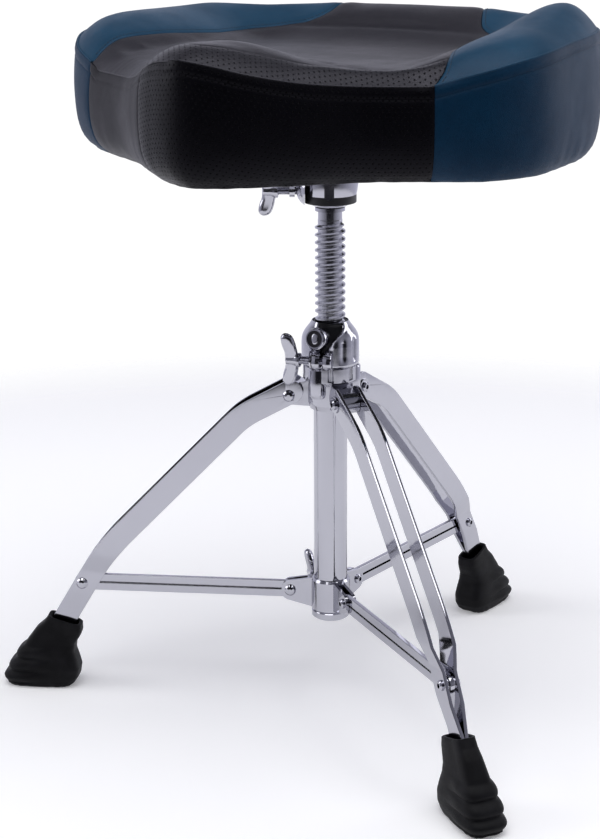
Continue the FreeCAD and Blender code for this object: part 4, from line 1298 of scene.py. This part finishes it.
def joined(*shapes):
    """Several shapes as one list of points and one of faces."""
    points, faces = [], []
    for shape_points, shape_faces in shapes:
        base = len(points)
        points.extend(tuple(point) for point in shape_points)
        faces.extend(tuple(base + corner for corner in face) for face in shape_faces)
    return points, faces


def make_wing(name, body, shank_radius, shank, span, tip, direction, twist):
    """A cast wing bolt: shank, waisted hub and two thick lobes, one turned each way."""
    half = span / 2
    right = [
        (0, -1.0), (half * 0.24, -0.9), (half * 0.48, 0.0), (half * 0.72, 1.4), (half * 0.92, 3.8),
        (half, 7.4), (half * 0.99, 10.6), (half * 0.88, 13.0), (half * 0.7, 13.2), (half * 0.5, 12.2),
        (half * 0.3, 10.6), (0, 10.2),
    ]
    left = [(-x, y) for x, y in right[-2:0:-1]]
    lobes, lobe_faces = pillow(smooth_curve(right + left, True, 1.0), 6.4, 3.6, twist=twist)
    lobes = np.column_stack([lobes[:, 0], lobes[:, 2], lobes[:, 1] + shank + 2.5])
    lobe_faces = [face[::-1] for face in lobe_faces]
    hub = [
        (0.02, shank - 0.6), (5.0, shank - 0.6), (5.9, shank), (6.0, shank + 1.6), (5.2, shank + 3.4),
        (4.4, shank + 6), (4.3, shank + 9.5), (3.7, shank + 11.6), (2.2, shank + 12.3), (0.02, shank + 12.5),
    ]
    pitch = 1.0
    rod = [(0.02, 0), (shank_radius - 0.7, 0)]
    for step in range(int((shank - 1) / pitch)):
        rod += [(shank_radius - 0.45, 0.4 + step * pitch), (shank_radius, 0.9 + step * pitch)]
    rod += [(shank_radius - 0.2, shank - 0.5), (0.02, shank - 0.4)]
    points, faces = joined((lobes, lobe_faces), lathe(hub, 40), lathe(rod, 28))
    axis = Vector(direction).normalized()
    upward = Vector((0, 0, 1))
    side = upward.cross(axis)
    placed = [Vector(tip) + upward * x + side * y + axis * z for x, y, z in points]
    make_solid(name + "_casting", placed, faces, "chrome_casting", body, [name])


def turned_point(azimuth, out, across, up):
    c, s = math.cos(math.radians(azimuth)), math.sin(math.radians(azimuth))
    return (out * c - across * s, out * s + across * c, up)


SLIT_TURN = 291.4
CLAMP_TURN = 216.4
SCREW_TURN = 152
NUT_LOW, NUT_HIGH = 302, 338.5


def make_wings():
    tip = turned_point(SLIT_TURN, 27, 8, NUT_LOW + 7.2)
    make_wing("height_wing_bolt", "height_wing", 3.5, 27, 46, tip, turned_point(SLIT_TURN, 0, -1, 0), 3.2)
    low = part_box("seat_bracket")[0][2] / MM
    tip = turned_point(CLAMP_TURN, 11, 0, low + 13)
    make_wing("seat_wing_bolt", "seat_wing", 3.5, 32, 42, tip, turned_point(CLAMP_TURN, 1, 0, 0), 2.4)
    tip = turned_point(SCREW_TURN, 14.65, 0, 101)
    make_wing("collar_wing_screw", "collar_wing", 3, 14, 42, tip, turned_point(SCREW_TURN, 1, 0, 0), 2.4)


# Height nut: opening between its jaws, as (height, angle from the camera side) of each edge.
VIEW_TURN = -54.5
JAW_RIGHT = [
    (0, -11), (8, -11), (12, -7), (17, -2), (22, 3), (26, 14), (29, 28), (31.5, 36), (34, 40),
    (37, 42),
]
JAW_LEFT = [(0, -17.2), (9, -17.2), (13, -19), (20, -24), (28, -34), (37, -42)]
NUT_PROFILE = [
    (0, 23.6), (0.8, 24.2), (18, 24.2), (22, 23.9), (25, 23.0), (28, 21.4), (31, 19.2), (33.5, 17.2),
    (35.5, 16.0), (36.5, 15.4),
]


def nut_radius(height, turn):
    """Outer radius of the nut: a dome, flutes on its right jaw and clamp cheeks by the slit."""
    radius = along_profile(NUT_PROFILE, height)
    for flute in (27, 57):
        gap = (turn - flute) / 5.0
        rise = float(ease((height - 2) / 6)) * float(ease((27 - height) / 7))
        radius -= 1.5 * math.exp(-gap * gap) * rise
    lip = math.exp(-(((turn - along_profile(JAW_RIGHT, height)) / 4.5) ** 2)) * float(ease((height - 9) / 6))
    return radius + 0.7 * lip


def make_nut():
    """Split clamp casting: it opens in an S-shaped window over its slit."""
    rows = [0, 0.3, 0.8] + [2 + step for step in range(34)] + [36.0, 36.5]
    count = 150
    points, faces = [], []
    for wall in (0, 1):
        for height in rows:
            start = along_profile(JAW_RIGHT, height)
            stop = along_profile(JAW_LEFT, height) + 360
            for k in range(count):
                turn = start + (stop - start) * k / (count - 1)
                radius = 15.1 if wall else nut_radius(height, turn)
                if not wall and k in (0, count - 1):
                    radius -= 0.8
                azimuth = math.radians(VIEW_TURN + turn)
                points.append((radius * math.cos(azimuth), radius * math.sin(azimuth), NUT_LOW + height))
    wide = len(rows) * count
    for row in range(len(rows) - 1):
        for k in range(count - 1):
            a = row * count + k
            faces.append((a, a + 1, a + count + 1, a + count))
            faces.append((wide + a, wide + a + count, wide + a + count + 1, wide + a + 1))
        a, b = row * count, (row + 1) * count
        faces.append((a, b, wide + b, wide + a))
        a, b = a + count - 1, b + count - 1
        faces.append((b, a, wide + a, wide + b))
    for k in range(count - 1):
        top = (len(rows) - 1) * count + k
        faces.append((k + 1, k, wide + k, wide + k + 1))
        faces.append((top, top + 1, wide + top + 1, wide + top))
    make_solid("height_nut_casting", points, faces, "chrome_casting", "base", ["height_nut"])
    make_nut_cheeks()


def section_loft(profile, cut, keep_outside, azimuth, base):
    """A turned shape cut by an upright plane: one side of it, as points and faces."""
    sides = 56
    points, faces = [], []
    for radius, height in profile:
        limit = math.acos(min(cut / radius, 0.999))
        sweep = (-limit, limit) if keep_outside else (limit, 2 * math.pi - limit)
        for turn in np.linspace(*sweep, sides):
            out, side = radius * math.cos(turn), radius * math.sin(turn)
            points.append(turned_point(azimuth, out, side, base + height))
    for row in range(len(profile) - 1):
        bridge(faces, row * sides, (row + 1) * sides, sides)
    faces.append(tuple(range(sides))[::-1])
    faces.append(tuple(range(len(points) - sides, len(points))))
    return points, faces


def make_bracket():
    """Cast cup under the seat, and the loose clamp jaw that completes its side."""
    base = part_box("seat_bracket")[0][2] / MM
    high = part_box("seat_bracket")[1][2] / MM - base
    cup = [(16.5, 2.2), (18.0, 3.2), (20.2, 5.6), (21.6, 9.5), (22.6, 14), (23.2, 18.5),
           (23.5, 23), (23.5, high)]
    neck_profile = [(10.2, 6), (10.2, 0.1), (10.6, 0), (12.4, 0), (14.2, 0.9), (16.2, 2.1), (16.2, 6)]
    neck, neck_faces = lathe(neck_profile, 56)
    neck = [(x, y, z + base) for x, y, z in neck]
    points, faces = joined(section_loft(cup, 16.4, False, CLAMP_TURN, base), (neck, neck_faces))
    make_solid("seat_bracket_cup", points, faces, "chrome_casting", "seat", ["seat_bracket"])
    # A black nylon piece filling the slot between cup and jaw, standing in for the shade in the slot: painted
    # shade.
    pad = [(21.4, 3.6), (21.8, 4), (21.8, 22), (21.4, 22.4)]
    points, faces = section_loft(pad, 20.6, False, CLAMP_TURN, base)
    make_solid("bracket_slot_dark_filler", points, faces, "black_nylon", "seat", [])
    jaw = [(21.6, 2.2), (22.6, 2.6), (24.4, 4.2), (26.4, 7), (27.8, 11), (28.4, 15), (28.5, 20.2), (28.2, 21)]
    points, faces = section_loft(jaw, 20.8, True, CLAMP_TURN, base)
    make_solid("clamp_jaw_casting", points, faces, "chrome_casting", "seat", ["clamp_jaw"])


def make_nut_cheeks():
    """The two clamp lugs at the foot of the slit, and the boss under the badge."""
    shapes = []
    for low, high in ((-8.3, -1.3), (1.3, 8.3)):
        outline_points = smooth_curve(
            [(14, 1), (24, 0.6), (31.5, 1.2), (33.6, 4), (33.8, 8), (32, 12.5), (27, 15.2),
             (20, 16), (14, 14)],
            True, 0.8,
        )
        flat, flat_faces = pillow(outline_points, high - low, 1.5, 1.0)
        flat = np.column_stack([flat[:, 0], flat[:, 2] + (low + high) / 2, flat[:, 1]])
        placed = [turned_point(SLIT_TURN, x, y, NUT_LOW + z) for x, y, z in flat]
        shapes.append((placed, [face[::-1] for face in flat_faces]))
    face, side, over, axis = badge_frame()
    foot = face - axis * 13.2
    boss, boss_faces = lathe(
        [(0.02, 3), (9.4, 3), (9.3, 8), (9.2, 12), (9.0, 12.8), (8.6, 13.1), (0.02, 13.1)], 56
    )
    placed = [foot + side * x + over * y + axis * z for x, y, z in boss]
    shapes.append((placed, boss_faces))
    points, faces = joined(*shapes)
    make_solid("height_nut_lugs", points, faces, "chrome_casting", "base", [])


def make_hub_bosses():
    """Upright bosses cast on the hub, midway between its lugs.

    They are whole cylinders, so hidden in the tube they reach into the spindle's thread.
    """
    profile = [
        (0.02, 275), (6.6, 275), (7.6, 276.4), (8.2, 279), (8.2, 299), (7.7, 300.4), (6.8, 301),
        (0.02, 301),
    ]
    shapes = []
    for azimuth in (30, 150, 270):
        boss, faces = lathe(profile, 40)
        centre = Vector(turned_point(azimuth, 17.2, 0, 0))
        shapes.append(([Vector(point) + centre for point in boss], faces))
    points, faces = joined(*shapes)
    make_solid("leg_hub_bosses", points, faces, "chrome_casting", "base", [])


def badge_frame():
    """Centre of the badge's face and its axes."""
    tilt, turn = math.radians(10), math.radians(278)
    axis = Vector((math.cos(turn) * math.cos(tilt), math.sin(turn) * math.cos(tilt), math.sin(tilt)))
    side = Vector((-math.sin(turn), math.cos(turn), 0))
    foot = Vector((27 * math.cos(turn), 27 * math.sin(turn), NUT_HIGH - 11.2 + 2 * math.tan(tilt)))
    return foot, side, axis.cross(side), axis


def make_badge_mark():
    """A plain oval inlay on the badge, in place of any mark."""
    foot, side, over, axis = badge_frame()
    dome, faces = lathe([(1.0, 0.2), (1.0, 0.75), (0.9, 0.95), (0.6, 1.05), (0.004, 1.1)], 40)
    placed = [foot + side * x * 3.1 + over * y * 4.3 + axis * z for x, y, z in dome]
    faces.append(tuple(range(40))[::-1])
    make_solid("badge_inlay", placed, faces, "zinc_steel", "base", [])


def make_nut_window():
    """Black nylon insert: it fills the window between the nut's jaws."""
    rows = [9 + step for step in range(28)]
    count = 30
    points, faces = [], []
    for wall in (0, 1):
        for height in rows:
            start = along_profile(JAW_LEFT, height) - 1.5
            stop = along_profile(JAW_RIGHT, height) + 1.5
            for k in range(count):
                azimuth = math.radians(VIEW_TURN + start + (stop - start) * k / (count - 1))
                radius = 13.2 if wall else along_profile(NUT_PROFILE, height) - 2.4
                points.append((radius * math.cos(azimuth), radius * math.sin(azimuth), NUT_LOW + height))
    wide = len(rows) * count
    for row in range(len(rows) - 1):
        for k in range(count - 1):
            a = row * count + k
            faces.append((a, a + 1, a + count + 1, a + count))
            faces.append((wide + a, wide + a + count, wide + a + count + 1, wide + a + 1))
    for k in range(count - 1):
        top = (len(rows) - 1) * count + k
        faces.append((k + 1, k, wide + k, wide + k + 1))
        faces.append((top, top + 1, wide + top + 1, wide + top))
    make_solid("nut_insert_window", points, faces, "black_nylon", "base", [])


def polish_bars():
    """Break the sharp edges of the flat bars and stays so that they catch the light."""
    for name, item in frame["nodes"].items():
        if "_leg_bar" in name or name.endswith("_stay") or name == "leg_hub" or name == "lower_collar":
            weld = item.modifiers.new("weld", "WELD")
            weld.merge_threshold = 0.00002
            bevel = item.modifiers.new("bevel", "BEVEL")
            bevel.width = 0.00045
            bevel.segments = 2
            bevel.limit_method = "ANGLE"
            bevel.angle_limit = math.radians(35)
            item.modifiers.new("normals", "WEIGHTED_NORMAL").keep_sharp = False


# ---------------------------------------------------------------- stage


def make_floor():
    mesh = bpy.data.meshes.new("floor")
    reach, cells = 9.0, 12
    spots = [
        (reach * (2 * i / cells - 1), reach * (2 * j / cells - 1), 0)
        for j in range(cells + 1)
        for i in range(cells + 1)
    ]
    wide = cells + 1
    faces = [
        (j * wide + i, j * wide + i + 1, (j + 1) * wide + i + 1, (j + 1) * wide + i)
        for j in range(cells)
        for i in range(cells)
    ]
    mesh.from_pydata(spots, [], faces)
    floor = bpy.data.objects.new("floor", mesh)
    bpy.context.collection.objects.link(floor)
    finish = Finish("floor")
    finish.set(
        base_color=finish.blend(finish.noise(2), colour(0.94, 0.94, 0.945), colour(0.96, 0.96, 0.965)),
        roughness=0.7,
        specular_ior_level=0.1,
        emission_color=colour(0.98, 0.98, 1.0),
        emission_strength=0.2,
    )
    flat = finish.node("VectorMath", {0: finish.place, 1: (1, 1, 0)}, operation="MULTIPLY").outputs[0]
    away = finish.node("VectorMath", {0: flat}, operation="LENGTH").outputs["Value"]
    finish.set(alpha=finish.span(away, 0.95, 1.3, 1.0, 0.0))
    mesh.materials.append(finish.material)


def make_world():
    """A pale studio: bright behind and to the sides, dark where the camera stands."""
    world = bpy.data.worlds.new("studio")
    bpy.context.scene.world = world
    world.use_nodes = True
    tree = world.node_tree
    tree.nodes.clear()

    def node(kind, inputs=(), **settings):
        item = tree.nodes.new("ShaderNode" + kind)
        for name, value in settings.items():
            setattr(item, name, value)
        for socket, value in dict(inputs).items():
            if isinstance(value, bpy.types.NodeSocket):
                tree.links.new(value, item.inputs[socket])
            else:
                item.inputs[socket].default_value = value
        return item

    direction = node("TexCoord").outputs["Generated"]
    away = (-math.sin(CAMERA_TURN), math.cos(CAMERA_TURN), 0)
    facing = node("VectorMath", {0: direction, 1: away}, operation="DOT_PRODUCT").outputs["Value"]
    ramp = node("ValToRGB", {"Fac": node("MapRange", {"Value": facing, "From Min": -1.0}).outputs[0]})
    stops = ramp.color_ramp.elements
    stops[0].position, stops[0].color = 0.0, (0.02, 0.02, 0.025, 1)
    stops[1].position, stops[1].color = 1.0, (1.0, 1.0, 1.16, 1)
    for position, value in ((0.06, 0.03), (0.14, 0.28), (0.30, 0.48), (0.60, 0.80)):
        stop = stops.new(position)
        stop.color = (value, value, value * 1.16, 1)
    high = node("SeparateXYZ", {0: direction}).outputs["Z"]
    above = node("MapRange", {"Value": high, "From Min": 0.28, "From Max": 0.62}).outputs[0]
    studio = node("Mix", {0: above, 6: ramp.outputs["Color"], 7: (0.24, 0.24, 0.29, 1)}, data_type="RGBA")
    lit = node("Background", {"Color": studio.outputs[2], "Strength": 0.78})
    plain = node("Background", {"Color": (1, 1, 1, 1), "Strength": 1.05})
    eye = node("LightPath").outputs["Is Camera Ray"]
    mix = node("MixShader", {0: eye, 1: lit.outputs[0], 2: plain.outputs[0]})
    out = node("OutputWorld")
    tree.links.new(mix.outputs[0], out.inputs["Surface"])


def studio_place(right, away, up):
    """A place given from the camera: to its right, away from it past the stool, and up."""
    c, s = math.cos(CAMERA_TURN), math.sin(CAMERA_TURN)
    return Vector((right * c - away * s, right * s + away * c, up))


def make_light(name, place, aim, width, height, power):
    data = bpy.data.lights.new(name, "AREA")
    data.shape = "RECTANGLE"
    data.size = width
    data.size_y = height
    data.energy = power
    light = bpy.data.objects.new(name, data)
    light.location = place
    light.rotation_euler = (Vector(aim) - place).to_track_quat("-Z", "Y").to_euler()
    bpy.context.collection.objects.link(light)


def make_lights():
    make_light("overhead", studio_place(0.1, -0.5, 2.5), (0, 0, 0.2), 2.6, 1.8, 44)
    make_light("left_box", studio_place(-2.0, 0.1, 1.1), (0, 0, 0.35), 0.9, 1.6, 11)
    make_light("right_box", studio_place(2.1, 0.7, 1.0), (0, 0, 0.35), 0.8, 1.6, 9)


def make_camera():
    """Camera at the photograph's viewing angle."""
    data = bpy.data.cameras.new("camera")
    data.sensor_fit = "AUTO"
    data.sensor_width = 36
    data.lens = 83.74
    data.clip_end = 50
    camera = bpy.data.objects.new("camera", data)
    bpy.context.collection.objects.link(camera)
    turn = Matrix.Rotation(CAMERA_TURN, 4, "Z")
    tilt = Matrix.Rotation(math.radians(73.49), 4, "X")
    roll = Matrix.Rotation(math.radians(-0.353), 4, "Z")
    camera.matrix_world = Matrix.Translation((0.9202, -1.2901, 0.7212)) @ turn @ tilt @ roll
    bpy.context.scene.camera = camera


def build():
    bpy.context.scene.view_settings.view_transform = "Standard"
    dress_frame()
    columns, top, points, depths = make_cover()
    make_beads(columns, points)
    make_stitches(columns, top, points, depths)
    make_underside()
    for leg, azimuth in (("rear", 90), ("left", 210), ("right", 330)):
        make_foot(leg + "_foot", azimuth)
    make_wings()
    make_nut()
    make_nut_window()
    make_bracket()
    make_hub_bosses()
    make_badge_mark()
    polish_bars()
    make_floor()
    make_world()
    make_lights()
    make_camera()


build()
